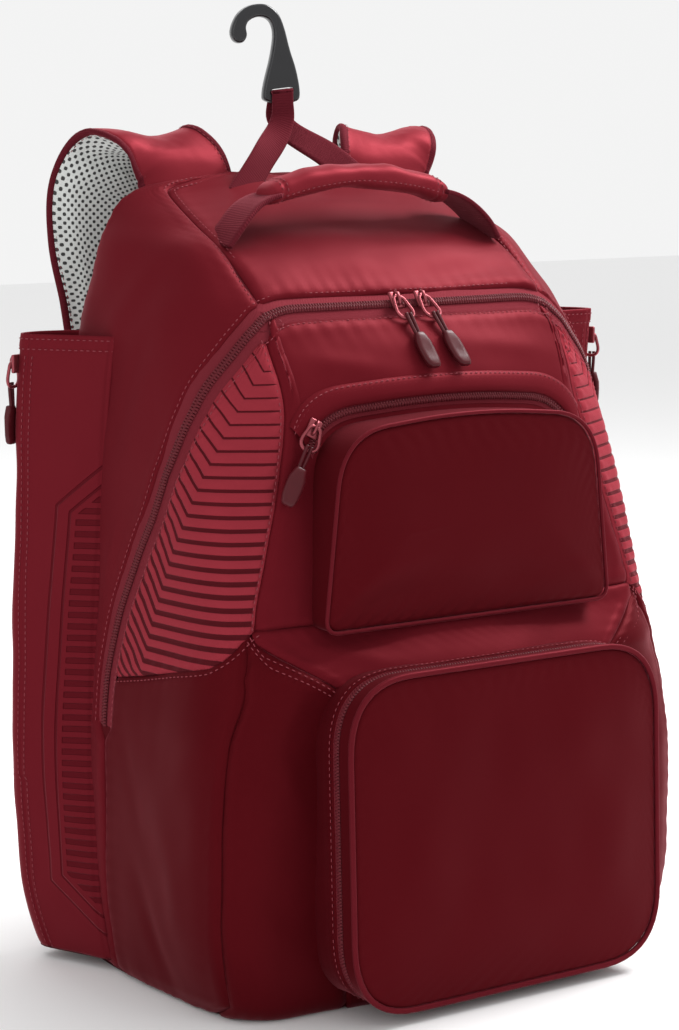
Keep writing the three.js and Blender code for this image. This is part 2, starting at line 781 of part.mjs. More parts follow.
// A band of a given width and thickness through stations, each a centre and a sideways direction;
// shares narrow it at a station.
function band(stations, wide, thick, edge = 0, shares = stations.map(() => 1)) {
  const centres = stations.map(([x, y, z]) => new THREE.Vector3(x, y, z));
  return loft(
    stations.map((station, i) => {
      const along = centres[Math.min(i + 1, centres.length - 1)]
        .clone()
        .sub(centres[Math.max(i - 1, 0)])
        .normalize();
      const sideways = new THREE.Vector3(...station.slice(3));
      sideways.addScaledVector(along, -sideways.dot(along)).normalize();
      const out = along.clone().cross(sideways);
      const [w, t] = [(shares[i] * wide) / 2, thick / 2];
      const corners = edge
        ? [
            [-w, -t / 3],
            [edge - w, -t],
            [w - edge, -t],
            [w, -t / 3],
            [w, t / 3],
            [w - edge, t],
            [edge - w, t],
            [-w, t / 3],
          ]
        : [
            [-w, -t],
            [w, -t],
            [w, t],
            [-w, t],
          ];
      return corners.map(([u, v]) =>
        centres[i].clone().addScaledVector(sideways, u).addScaledVector(out, v).toArray(),
      );
    }),
  );
}

// Haul handle: a padded grip over the hood with a webbing leg at each end.
const handleY = yOf(HANDLE_BACK);
const handleZ = hoodAt(0, handleY) + HANDLE_CLEAR + GRIP_THICK / 2;
const gripAt = (t) => [
  lerp(-GRIP_HALF_LENGTH, GRIP_HALF_LENGTH, t),
  handleY,
  handleZ - GRIP_RISE * (2 * t - 1) ** 2,
];
const grip = (() => {
  const rows = named(
    ["along", "size"],
    [
      [0, 0.72],
      [0.04, 0.95],
      [0.18, 1],
      [0.35, 1],
      [0.5, 1],
      [0.65, 1],
      [0.82, 1],
      [0.96, 0.95],
      [1, 0.72],
    ],
  );
  return loft(
    rows.map((row) => {
      const [x, y, z] = gripAt(row.along);
      const slope = Math.atan2(-4 * GRIP_RISE * (2 * row.along - 1), 2 * GRIP_HALF_LENGTH);
      return Array.from({ length: GRIP_SIDES }, (_, k) => {
        const turn = (2 * Math.PI * k) / GRIP_SIDES;
        const up = 0.5 * GRIP_THICK * row.size * Math.sin(turn);
        const back = 0.5 * GRIP_WIDE * row.size * Math.cos(turn);
        return [x - up * Math.sin(slope), y + back, z + up * Math.cos(slope)];
      });
    }),
  );
})();

// The way of a leg from the grip to its foot, as shares of the way out, forward and down.
const HANDLE_LEG = named(
  ["out", "forward", "down"],
  [
    [0.017, 0, 0.02],
    [0.35, 0.33, 0.2],
    [0.75, 1.33, 0.62],
    [1, 1, 1],
  ],
);
function handleLeg(side) {
  const [gripX, y, z] = gripAt(1);
  const footZ = hoodAt(HANDLE_BASE_HALF, y - HANDLE_FOOT_FORWARD) - WEB_SUNK;
  const stations = HANDLE_LEG.map((row) => [
    side * lerp(gripX, HANDLE_BASE_HALF, row.out),
    y - row.forward * HANDLE_FOOT_FORWARD,
    lerp(z, footZ, row.down),
    0,
    1,
    0,
  ]);
  return whole(band(stations, HANDLE_WEB_WIDE, HANDLE_WEB_THICK).subtract(clear));
}

// Fence hook in its own flat view, as shares of its height from the middle of its foot.
const HOOK_OUTLINE = named(
  ["across", "up"],
  [
    [0.19, 0.0],
    [0.2, 0.14],
    [0.155, 0.36],
    [0.09, 0.54],
    [0.04, 0.75],
    [-0.02, 0.9],
    [-0.12, 0.985],
    [-0.23, 1.0],
    [-0.35, 0.975],
    [-0.45, 0.9],
    [-0.51, 0.78],
    [-0.525, 0.68],
    [-0.475, 0.6],
    [-0.39, 0.6],
    [-0.345, 0.68],
    [-0.37, 0.76],
    [-0.335, 0.83],
    [-0.235, 0.87],
    [-0.14, 0.85],
    [-0.09, 0.79],
    [-0.07, 0.68],
    [-0.105, 0.46],
    [-0.16, 0.26],
    [-0.19, 0.12],
    [-0.19, 0.0],
  ],
);
const HOOK_SLOT = named(
  ["across", "up"],
  [
    [-0.13, 0.08],
    [0.13, 0.11],
    [0.125, 0.17],
    [-0.12, 0.14],
  ],
);
const hookBase = new THREE.Vector3(0, yOf(HOOK_BACK), BODY_HEIGHT + HOOK_CLEAR);
const hookTurn = THREE.MathUtils.degToRad(HOOK_TURN);
const hookPlace = ([across, up], depth) => [
  hookBase.x + HOOK_HEIGHT * across * Math.cos(hookTurn) - depth * Math.sin(hookTurn),
  hookBase.y + HOOK_HEIGHT * across * Math.sin(hookTurn) + depth * Math.cos(hookTurn),
  hookBase.z + HOOK_HEIGHT * up,
];
const pairs = (table) => table.map((row) => [row.across, row.up]);
const hook = prism(pairs(HOOK_OUTLINE), -HOOK_THICK / 2, HOOK_THICK / 2, hookPlace).subtract(
  prism(pairs(HOOK_SLOT), -HOOK_THICK, HOOK_THICK, hookPlace),
);

// Hook webbing: one band through the hook's slot, a leg down in front and a leg down behind.
const hookWebbing = (() => {
  const out = HOOK_THICK / 2 + 2.5 * GAP + HOOK_WEB_THICK / 2;
  const slot = (depth) => hookPlace([0, HOOK_SLOT_MIDDLE], depth);
  const footZ = hoodAt(HOOK_LEG_SPREAD, yOf(HOOK_FOOT_BACK));
  const foot = (side) => [side * HOOK_LEG_SPREAD, yOf(HOOK_FOOT_BACK), footZ - 1.5 * WEB_SUNK];
  const [cos, sin] = [Math.cos(hookTurn), Math.sin(hookTurn)];
  const leg = (side, depth) => {
    const top = slot(depth);
    const low = [top[0], top[1], top[2] - HOOK_WEB_DROP * HOOK_HEIGHT];
    const end = foot(side);
    const middle = [0.5, 0.6, 0.5].map((share, k) => lerp(low[k], end[k], share));
    const stations = [
      [...top, cos, sin, 0],
      [...low, cos, sin, 0],
      [...middle, 1, 0.1, side * HOOK_LEG_TURN],
      [...end, 1, 0, side * HOOK_LEG_TURN],
    ];
    const shares = [HOOK_WEB_FOLDED, HOOK_WEB_FOLDED, 1, 1];
    return band(stations, HOOK_WEB_WIDE, HOOK_WEB_THICK, 0, shares);
  };
  const through = band(
    [
      [...slot(-out - HOOK_WEB_THICK / 2), cos, sin, HOOK_SLOT_SLOPE],
      [...slot(out + HOOK_WEB_THICK / 2), cos, sin, HOOK_SLOT_SLOPE],
    ],
    HOOK_WEB_WIDE * HOOK_WEB_FOLDED,
    HOOK_WEB_THICK,
  );
  return whole(leg(-1, -out).add(leg(1, out)).add(through).subtract(clear));
})();

// Back pad.
const padOutline = roundLine(
  rectangle(PAD_HALF, PAD_LOW * BODY_HEIGHT, PAD_HIGH * BODY_HEIGHT),
  Array.from({ length: 4 }, () => ({ reach: PAD_CORNER, steps: 3 })),
);
const pad = layer(GAP, PAD_THICK, prism(padOutline, 0, BACK_Y + 2 * BURIED, alongY));

// Shoulder straps: from the hood's rear edge up, over and down behind the back. Behind is a share
// of the strap's reach behind the back, and turn is the slope of its sideways direction.
const STRAP_PATH = named(
  ["half", "behind", "height", "turn"],
  [
    [0.42, -0.871, 0.98, 0],
    [0.45, -0.645, 1.018, 0.072],
    [0.5, -0.258, 1.038, 0.192],
    [0.56, 0.387, 1.03, 0.288],
    [0.6, 0.871, 0.985, 0.312],
    [0.6, 1, 0.92, 0.24],
    [0.57, 0.935, 0.84, 0.12],
    [0.54, 0.806, 0.7, 0.048],
    [0.53, 0.677, 0.52, 0],
    [0.56, 0.581, 0.4, 0],
  ],
);
const strapPoint = (row, side) => [
  side * row.half * BODY_HALF_WIDTH,
  BACK_Y + row.behind * STRAP_REACH,
  row.height * BODY_HEIGHT,
];
function strap(side) {
  const stations = STRAP_PATH.map((row) => [...strapPoint(row, side), side, row.turn, 0]);
  return whole(band(stations, STRAP_WIDE, STRAP_THICK, STRAP_EDGE).subtract(clear));
}

// Lower webbing of a shoulder strap with its ladder buckle, down to the body's bottom corner.
const strapEnd = (side) => strapPoint(STRAP_PATH.at(-1), side);
const webbingMiddle = (side) => {
  const [x, y] = strapEnd(side);
  return [
    x + side * 0.46 * STRAP_WEB_SPREAD,
    lerp(y, BACK_Y, 0.35),
    STRAP_WEB_MIDDLE * BODY_HEIGHT,
  ];
};
function strapWebbing(side) {
  const [x, y, z] = strapEnd(side);
  const footX = x + side * STRAP_WEB_SPREAD;
  const footZ = STRAP_WEB_FOOT * BODY_HEIGHT;
  const stations = [
    [x, y, z - GAP, side, 0, 0],
    [...webbingMiddle(side), side, 0, 0],
    [footX, backAt(footZ) + WEB_SUNK, footZ + STRAP_WEB_BEND, side, 0, 0],
    [footX, backAt(footZ) - 2 * WEB_SUNK, footZ - WEB_SUNK, side, 0, 0],
  ];
  return whole(band(stations, STRAP_WEB_WIDE, STRAP_WEB_THICK).subtract(clear).subtract(pad));
}

// A zip pull in its own directions: a slider on the coil, and a wire loop, cord and tab in one.
function place(origin, down, out) {
  const w = new THREE.Vector3(...down).normalize();
  const n = new THREE.Vector3(...out);
  n.addScaledVector(w, -n.dot(w)).normalize();
  const u = w.clone().cross(n);
  const start = new THREE.Vector3(...origin);
  return ([a, b, c]) =>
    start.clone().addScaledVector(u, a).addScaledVector(w, b).addScaledVector(n, c).toArray();
}
const block = (at, [a0, a1], [b0, b1], [c0, c1], chamfer = 0) =>
  loft(
    [
      [c0, 0],
      [c1, chamfer],
    ].map(([c, cut]) =>
      [
        [a0 + cut, b0 + cut, c],
        [a1 - cut, b0 + cut, c],
        [a1 - cut, b1 - cut, c],
        [a0 + cut, b1 - cut, c],
      ].map(at),
    ),
  );
const both = (half) => [-half, half];
const slider = (at) =>
  block(at, both(SLIDER_WIDE / 2), both(SLIDER_LONG / 2), [0, SLIDER_HIGH], SLIDER_CHAMFER);
const TAB_OUTLINE = named(
  ["across", "along"],
  [
    [-0.36, 0],
    [0.36, 0],
    [0.5, 0.24],
    [0.5, 0.8],
    [0.3, 1],
    [-0.3, 1],
    [-0.5, 0.8],
    [-0.5, 0.24],
  ],
).map((row) => [row.across * TAB_WIDE, row.along * TAB_LONG]);
const TAB_LAYERS = named(
  ["height", "cut"],
  [
    [0, 1],
    [0.35, 0],
    [0.65, 0],
    [1, 1],
  ],
);
function pull(at, lift) {
  const [w, l, r] = [LOOP_WIDE / 2, LOOP_LONG, WIRE_RADIUS];
  const wire = block(at, both(w), [0, l], [lift, lift + 2 * r]).subtract(
    block(at, both(w - 2 * r), [2 * r, l - 2 * r], [lift - r, lift + 3 * r]),
  );
  const cord = block(
    at,
    both(2 * CORD_RADIUS),
    [l - 3 * r, l + CORD_LONG],
    [lift + r - CORD_RADIUS, lift + r + CORD_RADIUS],
  );
  const start = l + CORD_LONG - TAB_OVER;
  const tab = loft(
    TAB_LAYERS.map((row) =>
      insetLine(TAB_OUTLINE, row.cut * TAB_CHAMFER).map(([a, b]) =>
        at([a, start + b, row.height * TAB_THICK + lift - TAB_SUNK]),
      ),
    ),
  );
  return wire.add(cord).add(tab);
}

// Main zip's two sliders, side by side near the middle of its upper run.
const zipZ = ZIP_LINE[0][1];
const overCoil = bodySolid(COIL_RISE + GAP);
const PULL_LIFT = SLIDER_HIGH + GAP;
function mainPull(name, x) {
  const y = frontAt(x, zipZ);
  const low = zipZ - MAIN_PULL_DROP * BODY_HEIGHT;
  const down = [0, frontAt(x, low) - y, low - zipZ];
  const normal = [0, down[2], -down[1]];
  const length = Math.hypot(...normal);
  const rise = COIL_RISE + GAP + SLIDER_RISE;
  const origin = [x, y + (rise * normal[1]) / length, zipZ + (rise * normal[2]) / length];
  const at = place(origin, down, normal);
  add(name + "_slider", whole(slider(at).subtract(overCoil)), METAL_RED, 0.35, 0.6);
  add(name + "_pull", pull(at, PULL_LIFT).subtract(clear), METAL_RED, 0.4, 0.3);
}

// Upper pocket's slider at the left end of its zip, its pull lying down along the lid.
function upperPull() {
  const [x, z] = [-UPPER_PULL_OUT * UPPER_TOP_HALF, UPPER_TOP * BODY_HEIGHT];
  const [lowX, lowZ] = [x - UPPER_PULL_ASIDE, z - UPPER_PULL_DROP];
  const y = frontAt(x, z);
  const down = [lowX - x, frontAt(lowX, lowZ) - y, lowZ - z];
  const at = place([x, y - POCKET_CLOTH - 2 * GAP, z], down, outOfFront(x, z));
  const overStrip = bodySolid(POCKET_CLOTH + GAP);
  add("upper_slider", whole(slider(at).subtract(overStrip)), METAL_RED, 0.35, 0.6);
  add("upper_pull", whole(pull(at, PULL_LIFT).subtract(clear)), METAL_RED, 0.4, 0.3);
}

// A slider and pull at the top of each sleeve's outer edge.
function sleevePull(name, table, side) {
  const z = lerp(SLEEVE_BOTTOM, SLEEVE_TOP, SLEEVE_PULL) * BODY_HEIGHT;
  const keys = sleeveKeys(rowAt(table, "height", SLEEVE_PULL), z);
  const out = new THREE.Vector2(keys[2][0] - keys[1][0], keys[2][1] - keys[1][1]).normalize();
  const reach = ([x, y]) => x * out.x + y * out.y;
  const line = roundLine(keys, SLEEVE_ROUNDING);
  const [x, y] = line.reduce((best, p) => (reach(p) > reach(best) ? p : best));
  const at = place([side * (x - out.x), y - out.y, z], [0, 0, -1], [side * out.x, out.y, 0]);
  const overSleeve = sleeveForm(table, side, -GAP, 0, 0);
  add(name + "_slider", whole(slider(at).subtract(overSleeve)), METAL_RED, 0.35, 0.6);
  add(name + "_pull", pull(at, PULL_LIFT), METAL_RED, 0.4, 0.3);
}

// Ladder buckle over the webbing just below a strap's end.
function buckle(side) {
  const top = strapEnd(side);
  const down = webbingMiddle(side).map((v, k) => v - top[k]);
  const at = place(top, down, [0, -down[2], down[1]]);
  const lift = STRAP_WEB_THICK / 2 + 2 * GAP;
  const high = [lift, lift + BUCKLE_THICK];
  const along = (share) => BUCKLE_START + share * BUCKLE_LONG;
  const frame = block(at, both(BUCKLE_WIDE / 2), [along(0), along(1)], high);
  const through = [high[0] - BUCKLE_THICK, high[1] + BUCKLE_THICK];
  const hole = (from, to) =>
    block(at, both(BUCKLE_WIDE / 2 - BUCKLE_RIM), [along(from), along(to)], through);
  return frame.subtract(hole(0.16, 0.4)).subtract(hole(0.6, 0.84));
}

add("base_panel", whole(basePanel), RED, 0.55);
add("back_panel", whole(backPanel), RED, 0.55);
add("hood_panel", whole(hoodPanel), RED, 0.55);
const [sideLeft, sideRight] = bodies(sides);
add("side_panel_left", sideLeft, RED, 0.55);
add("side_panel_right", sideRight, RED, 0.55);
add("centre_panel", whole(centrePanel), DARK_RED, 0.55);
const [gussetLeft, gussetRight] = bodies(gussets);
add("gusset_left", gussetLeft, GUSSET_RED, 0.6);
add("gusset_right", gussetRight, GUSSET_RED, 0.6);
add("lower_front_panel", whole(lowerPanel), DARK_RED, 0.55);
add("front_yoke", whole(yoke), RED, 0.55);
add("main_zip", whole(mainZip), WEB_RED, 0.6);
add("upper_pocket", whole(upperFace), DARK_RED, 0.55);
add("upper_pocket_piping", whole(upperPiping.subtract(clear)), WEB_RED, 0.5);
add("upper_pocket_zip", whole(zipStrip), WEB_RED, 0.6);
add("lower_pocket_face", whole(lowerFace), DARK_RED, 0.55);
add("lower_pocket_piping", whole(lowerPiping), WEB_RED, 0.5);
add("lower_pocket_zip", whole(lowerZip), WEB_RED, 0.6);
add("lower_pocket_gusset", whole(lowerGusset), DARK_RED, 0.55);
add("bat_sleeve_left", sleeve(SLEEVE_LEFT, -1), RED, 0.55);
add("bat_sleeve_right", sleeve(SLEEVE_RIGHT, 1), RED, 0.55);
add("handle_grip", grip, RED, 0.6);
add("handle_webbing_left", handleLeg(-1).subtract(grip), WEB_RED, 0.7);
add("handle_webbing_right", handleLeg(1).subtract(grip), WEB_RED, 0.7);
add("fence_hook", hook, BLACK, 0.35);
add("hook_webbing", hookWebbing, WEB_RED, 0.7);
add("back_pad", pad, MESH_GREY, 0.9);
add("shoulder_strap_left", strap(-1), RED, 0.7);
add("shoulder_strap_right", strap(1), RED, 0.7);
add("strap_webbing_left", strapWebbing(-1), WEB_RED, 0.7);
add("strap_webbing_right", strapWebbing(1), WEB_RED, 0.7);
add("strap_buckle_left", buckle(-1), BLACK, 0.4);
add("strap_buckle_right", buckle(1), BLACK, 0.4);
mainPull("main_left", MAIN_PULL_X - SLIDER_APART);
mainPull("main_right", MAIN_PULL_X + SLIDER_APART);
upperPull();
sleevePull("sleeve_left", SLEEVE_LEFT, -1);
sleevePull("sleeve_right", SLEEVE_RIGHT, 1);

export default group;
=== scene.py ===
import math

import bmesh
import bpy
import numpy as np
from mathutils.kdtree import KDTree
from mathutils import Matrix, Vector


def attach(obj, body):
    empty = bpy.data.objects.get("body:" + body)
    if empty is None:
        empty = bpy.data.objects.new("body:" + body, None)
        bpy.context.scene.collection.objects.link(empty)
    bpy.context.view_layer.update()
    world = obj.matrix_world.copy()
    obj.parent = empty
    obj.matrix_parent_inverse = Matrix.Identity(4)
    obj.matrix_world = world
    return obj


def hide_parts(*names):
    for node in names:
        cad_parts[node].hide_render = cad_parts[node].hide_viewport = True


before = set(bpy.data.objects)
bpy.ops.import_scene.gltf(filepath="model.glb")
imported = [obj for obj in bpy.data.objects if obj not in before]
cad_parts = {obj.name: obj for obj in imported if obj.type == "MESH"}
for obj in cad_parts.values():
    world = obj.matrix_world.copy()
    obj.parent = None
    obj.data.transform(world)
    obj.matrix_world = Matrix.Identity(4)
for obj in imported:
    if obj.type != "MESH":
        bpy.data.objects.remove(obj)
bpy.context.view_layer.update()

MM = 0.001

# Body sizes in millimetres, as in the frame.
HEIGHT = 509.0
HALF_WIDTH = 188.0
DEPTH = 240.0
BACK_Y = 84.0
ZIP_HALF = 9.0

# Level sections: height, then depth or half width shares for six corners from front to back.
SECTIONS = np.array(
    [
        [0.0, 0.967, 0.798, 0.912, 0.904, 0.8, 0.915, 0.308, 0.851, 0.042, 0.025],
        [0.024, 0.983, 0.84, 0.933, 0.946, 0.838, 0.946, 0.308, 0.872, 0.025, 0.008],
        [0.13, 0.996, 0.878, 0.942, 1.0, 0.871, 0.979, 0.308, 0.894, 0.017, 0.0],
        [0.246, 1.0, 0.878, 0.942, 1.0, 0.863, 0.979, 0.308, 0.894, 0.017, 0.0],
        [0.338, 1.017, 0.851, 0.933, 0.989, 0.85, 0.973, 0.308, 0.888, 0.017, 0.0],
        [0.403, 1.029, 0.771, 0.95, 0.96, 0.829, 0.963, 0.308, 0.878, 0.017, 0.0],
        [0.468, 0.938, 0.803, 0.867, 0.925, 0.8, 0.952, 0.308, 0.872, 0.017, 0.0],
        [0.556, 0.896, 0.739, 0.846, 0.904, 0.775, 0.931, 0.308, 0.867, 0.017, 0.0],
        [0.654, 0.871, 0.66, 0.821, 0.888, 0.708, 0.915, 0.308, 0.862, 0.021, 0.004],
        [0.741, 0.842, 0.612, 0.779, 0.867, 0.65, 0.894, 0.308, 0.851, 0.025, 0.008],
        [0.809, 0.758, 0.622, 0.713, 0.814, 0.592, 0.872, 0.292, 0.84, 0.033, 0.017],
        [0.845, 0.688, 0.596, 0.667, 0.782, 0.558, 0.851, 0.275, 0.83, 0.042, 0.025],
        [0.872, 0.617, 0.596, 0.6, 0.75, 0.517, 0.83, 0.258, 0.814, 0.05, 0.033],
        [0.916, 0.508, 0.606, 0.475, 0.707, 0.425, 0.793, 0.225, 0.793, 0.067, 0.046],
        [0.943, 0.408, 0.601, 0.35, 0.68, 0.3, 0.75, 0.175, 0.755, 0.075, 0.058],
        [0.969, 0.3, 0.59, 0.233, 0.65, 0.192, 0.702, 0.138, 0.713, 0.092, 0.075],
        [0.984, 0.225, 0.564, 0.163, 0.612, 0.146, 0.633, 0.129, 0.644, 0.113, 0.092],
        [0.994, 0.175, 0.447, 0.142, 0.479, 0.133, 0.5, 0.125, 0.511, 0.113, 0.1],
        [1.0, 0.142, 0.266, 0.129, 0.287, 0.125, 0.303, 0.121, 0.309, 0.113, 0.108],
        [1.002, 0.124, 0.2, 0.12, 0.22, 0.118, 0.23, 0.117, 0.235, 0.115, 0.112],
    ]
)
REACH = np.array([60.0, 16.0, 34.0, 50.0, 24.0, 60.0])


def lerp(a, b, t):
    return a + (b - a) * t


def bell(distance, width):
    return np.exp(-((distance / width) ** 2))


def hermite(x, y, at, slopes):
    i = np.clip(np.searchsorted(x, at, side="right") - 1, 0, len(x) - 2)
    step = (x[i + 1] - x[i])[:, None]
    t = ((at - x[i])[:, None] / step).clip(0, 1)
    a, b = y[i], y[i + 1]
    p, q = slopes[i] * step, slopes[i + 1] * step
    return (
        a * (1 + 2 * t) * (1 - t) ** 2
        + p * t * (1 - t) ** 2
        + b * t * t * (3 - 2 * t)
        + q * t * t * (t - 1)
    )


def monotone_slopes(x, y):
    step = np.diff(x)[:, None]
    rise = np.diff(y, axis=0) / step
    slopes = np.zeros_like(y)
    w1, w2 = 2 * step[1:] + step[:-1], step[1:] + 2 * step[:-1]
    same = rise[:-1] * rise[1:] > 0
    with np.errstate(divide="ignore", invalid="ignore"):
        mean = (w1 + w2) / (w1 / rise[:-1] + w2 / rise[1:])
    slopes[1:-1] = np.where(same, mean, 0)
    slopes[0], slopes[-1] = rise[0], rise[-1]
    return slopes


def smooth_path(points, count):
    """A smooth line of count points, evenly spaced, through a few points."""
    points = np.asarray(points, float)
    span = np.linalg.norm(np.diff(points[:, :3], axis=0), axis=1)
    x = np.concatenate([[0], np.cumsum(np.maximum(span, 1e-6))])
    rise = np.diff(points, axis=0) / np.diff(x)[:, None]
    slopes = np.vstack([rise[:1], (rise[:-1] + rise[1:]) / 2, rise[-1:]])
    fine = hermite(x, points, np.linspace(0, x[-1], 12 * len(points)), slopes)
    return resample(fine, count)


def resample(line, count, closed=False):
    line = np.asarray(line, float)
    if closed:
        line = np.vstack([line, line[:1]])
    span = np.linalg.norm(np.diff(line[:, :3], axis=0), axis=1)
    along = np.concatenate([[0], np.cumsum(span)])
    at = np.linspace(0, along[-1], count + 1)[:-1] if closed else np.linspace(0, along[-1], count)
    return np.stack([np.interp(at, along, line[:, k]) for k in range(line.shape[1])], 1)


# The body's surface. A station runs up its profile; around is 0 at the front's middle, 1 at the
# panel edge, 2 at the shoulder, 3 at the side, 4 at the rear corner and 5 at the back's middle.
def section_corners(rows):
    z = rows[:, 0] * HEIGHT
    x = [np.zeros(len(rows))] + [rows[:, k] * HALF_WIDTH for k in (2, 4, 6, 8)] + [np.zeros(len(rows))]
    y = [BACK_Y - rows[:, k] * DEPTH for k in (1, 3, 5, 7, 9, 10)]
    return z, np.stack([np.stack(x, 1), np.stack(y, 1)], 2)


ROW_Z, ROW_CORNERS = section_corners(SECTIONS)
STATION = np.concatenate(
    [
        [0],
        np.cumsum(
            np.sqrt(
                np.diff(ROW_Z) ** 2
                + (np.diff(ROW_CORNERS, axis=0) ** 2).sum(2).mean(1)
            )
        ),
    ]
)
TOP = STATION[-1]
ROW_VALUES = np.hstack([ROW_Z[:, None], ROW_CORNERS.reshape(len(ROW_Z), 12)])
ROW_SLOPES = monotone_slopes(STATION, ROW_VALUES)
FINE_STATION = np.linspace(0, TOP, 2000)
FINE_Z = hermite(STATION, ROW_VALUES, FINE_STATION, ROW_SLOPES)[:, 0]


def station_at(z):
    return np.interp(z, FINE_Z, FINE_STATION)


def body(around, station):
    """Points on the body."""
    around, station = np.broadcast_arrays(np.asarray(around, float), np.asarray(station, float))
    shape = around.shape
    a = (around.ravel() + 5) % 10 - 5
    side = np.where(a < 0, -1.0, 1.0)
    a = np.abs(a)
    values = hermite(STATION, ROW_VALUES, np.clip(station.ravel(), 0, TOP), ROW_SLOPES)
    keys = values[:, 1:].reshape(-1, 6, 2)
    flip = np.array([-1.0, 1.0])
    keys = np.concatenate([keys[:, 1:2] * flip, keys, keys[:, 4:5] * flip], 1)
    n = np.arange(len(a))
    i = np.clip(np.floor(a + 0.5), 0, 5).astype(int)
    f = a + 0.5 - i
    before, at, after = keys[n, i], keys[n, i + 1], keys[n, i + 2]
    l0 = np.linalg.norm(before - at, axis=1) + 1e-9
    l1 = np.linalg.norm(after - at, axis=1) + 1e-9
    s0 = np.minimum(REACH[i] / l0, 0.48)
    s1 = np.minimum(REACH[i] / l1, 0.48)
    start = at + (before - at) * s0[:, None]
    end = at + (after - at) * s1[:, None]
    curve = (2 * np.linalg.norm(end - start, axis=1) + s0 * l0 + s1 * l1) / 3
    first = f <= 0.5
    straight = np.where(first, (0.5 - s0) * l0, (0.5 - s1) * l1)
    g = np.where(first, f, 1 - f) * 2 * (straight + curve / 2)
    pick = first[:, None]
    middle = np.where(pick, (before + at) / 2, (at + after) / 2)
    near, far = np.where(pick, start, end), np.where(pick, end, start)
    t = np.clip(g / np.maximum(straight, 1e-9), 0, 1)[:, None]
    flat = middle + (near - middle) * t
    t = np.clip((g - straight) / np.maximum(curve, 1e-9), 0, 0.5)[:, None]
    round_ = (1 - t) ** 2 * near + 2 * t * (1 - t) * at + t * t * far
    xy = np.where((g < straight)[:, None], flat, round_)
    out = np.stack([side * xy[:, 0], xy[:, 1], values[:, 0]], 1)
    return out.reshape(shape + (3,))


def body_frame(around, station):
    """Points, the two directions along the surface and the outward normals."""
    p = body(around, station)
    du = (body(np.asarray(around) + 0.02, station) - body(np.asarray(around) - 0.02, station)) / 0.04
    high = np.minimum(np.asarray(station) + 2, TOP)
    low = np.maximum(np.asarray(station) - 2, 0)
    dt = (body(around, high) - body(around, low)) / (high - low)[..., None]
    normal = np.cross(du, dt)
    normal /= np.linalg.norm(normal, axis=-1, keepdims=True) + 1e-12
    return p, du, dt, normal


def around_at_x(x, station):
    grid = np.linspace(0, 2.6, 261)
    return np.array(
        [
            np.sign(one) * np.interp(abs(one), body(grid, s)[:, 0], grid)
            for one, s in zip(np.atleast_1d(x), np.atleast_1d(station))
        ]
    )


def around_at_y(y, station):
    grid = np.linspace(0.9, 4.2, 331)
    return np.array(
        [
            np.interp(one, body(grid, s)[:, 1], grid)
            for one, s in zip(np.atleast_1d(y), np.atleast_1d(station))
        ]
    )


def front_y(x, z):
    station = station_at(z)
    return float(body(around_at_x(x, station), station)[0, 1])


def spaced(curve, count):
    """A curve in around and station, evenly spaced on the surface."""
    fine = resample_pair(curve, 400)
    points = body(fine[:, 0], fine[:, 1])
    along = np.concatenate([[0], np.cumsum(np.linalg.norm(np.diff(points, axis=0), axis=1))])
    at = np.linspace(0, along[-1], count)
    return np.stack([np.interp(at, along, fine[:, k]) for k in (0, 1)], 1)


def resample_pair(curve, count):
    curve = np.asarray(curve, float)
    points = body(curve[:, 0], curve[:, 1])
    along = np.concatenate([[0], np.cumsum(np.linalg.norm(np.diff(points, axis=0), axis=1))])
    along += np.arange(len(along)) * 1e-6
    at = np.linspace(0, along[-1], count)
    return np.stack([np.interp(at, along, curve[:, k]) for k in (0, 1)], 1)


def curve_length(curve):
    points = body(curve[:, 0], curve[:, 1])
    return float(np.linalg.norm(np.diff(points, axis=0), axis=1).sum())


def beside(curve, distance, steps=3):
    """A curve moved sideways over the surface, to its left as seen from outside."""
    curve = np.array(curve, float)
    out = curve.copy()
    for _ in range(steps):
        p, du, dt, normal = body_frame(out[:, 0], out[:, 1])
        along = np.gradient(p, axis=0)
        across = np.cross(normal, along)
        across /= np.linalg.norm(across, axis=1, keepdims=True) + 1e-9
        move = across * (distance / steps)
        a11, a12, a22 = (du * du).sum(1), (du * dt).sum(1), (dt * dt).sum(1)
        b1, b2 = (du * move).sum(1), (dt * move).sum(1)
        det = a11 * a22 - a12 * a12 + 1e-9
        out[:, 0] += (a22 * b1 - a12 * b2) / det
        out[:, 1] += (a11 * b2 - a12 * b1) / det
    return out


def blur(curve, amount):
    kernel = np.exp(-0.5 * (np.arange(-3 * amount, 3 * amount + 1) / amount) ** 2)
    kernel /= kernel.sum()
    pad = len(kernel) // 2
    out = []
    for k in range(curve.shape[1]):
        c = curve[:, k]
        left = 2 * c[0] - c[pad:0:-1]
        right = 2 * c[-1] - c[-2 : -pad - 2 : -1]
        out.append(np.convolve(np.concatenate([left, c, right]), kernel, "valid"))
    return np.stack(out, 1)


def flipped(curve):
    return curve * np.array([-1.0, 1.0])


# Seam lines on the right half, as pairs of around and station.
ZIP_TOP_Z = 0.846 * HEIGHT
ZIP_SIDE = np.array(
    [
        [0.672, 0.802],
        [0.65, 0.758],
        [0.625, 0.715],
        [0.57, 0.648],
        [0.48, 0.562],
        [0.392, 0.47],
        [0.345, 0.39],
        [0.338, 0.325],
    ]
)
side_station = station_at(ZIP_SIDE[:, 1] * HEIGHT)
zip_side = np.stack([around_at_y(BACK_Y - ZIP_SIDE[:, 0] * DEPTH, side_station), side_station], 1)
zip_station = station_at(ZIP_TOP_Z)
zip_front = np.array([[a, zip_station] for a in np.linspace(0, 0.9, 40)])
corner_station = station_at(0.836 * HEIGHT)
zip_corner = np.array([[float(around_at_y(BACK_Y - 0.672 * DEPTH, corner_station)[0]), corner_station]])
zip_half = resample_pair(np.vstack([zip_front, zip_corner, zip_side]), 300)
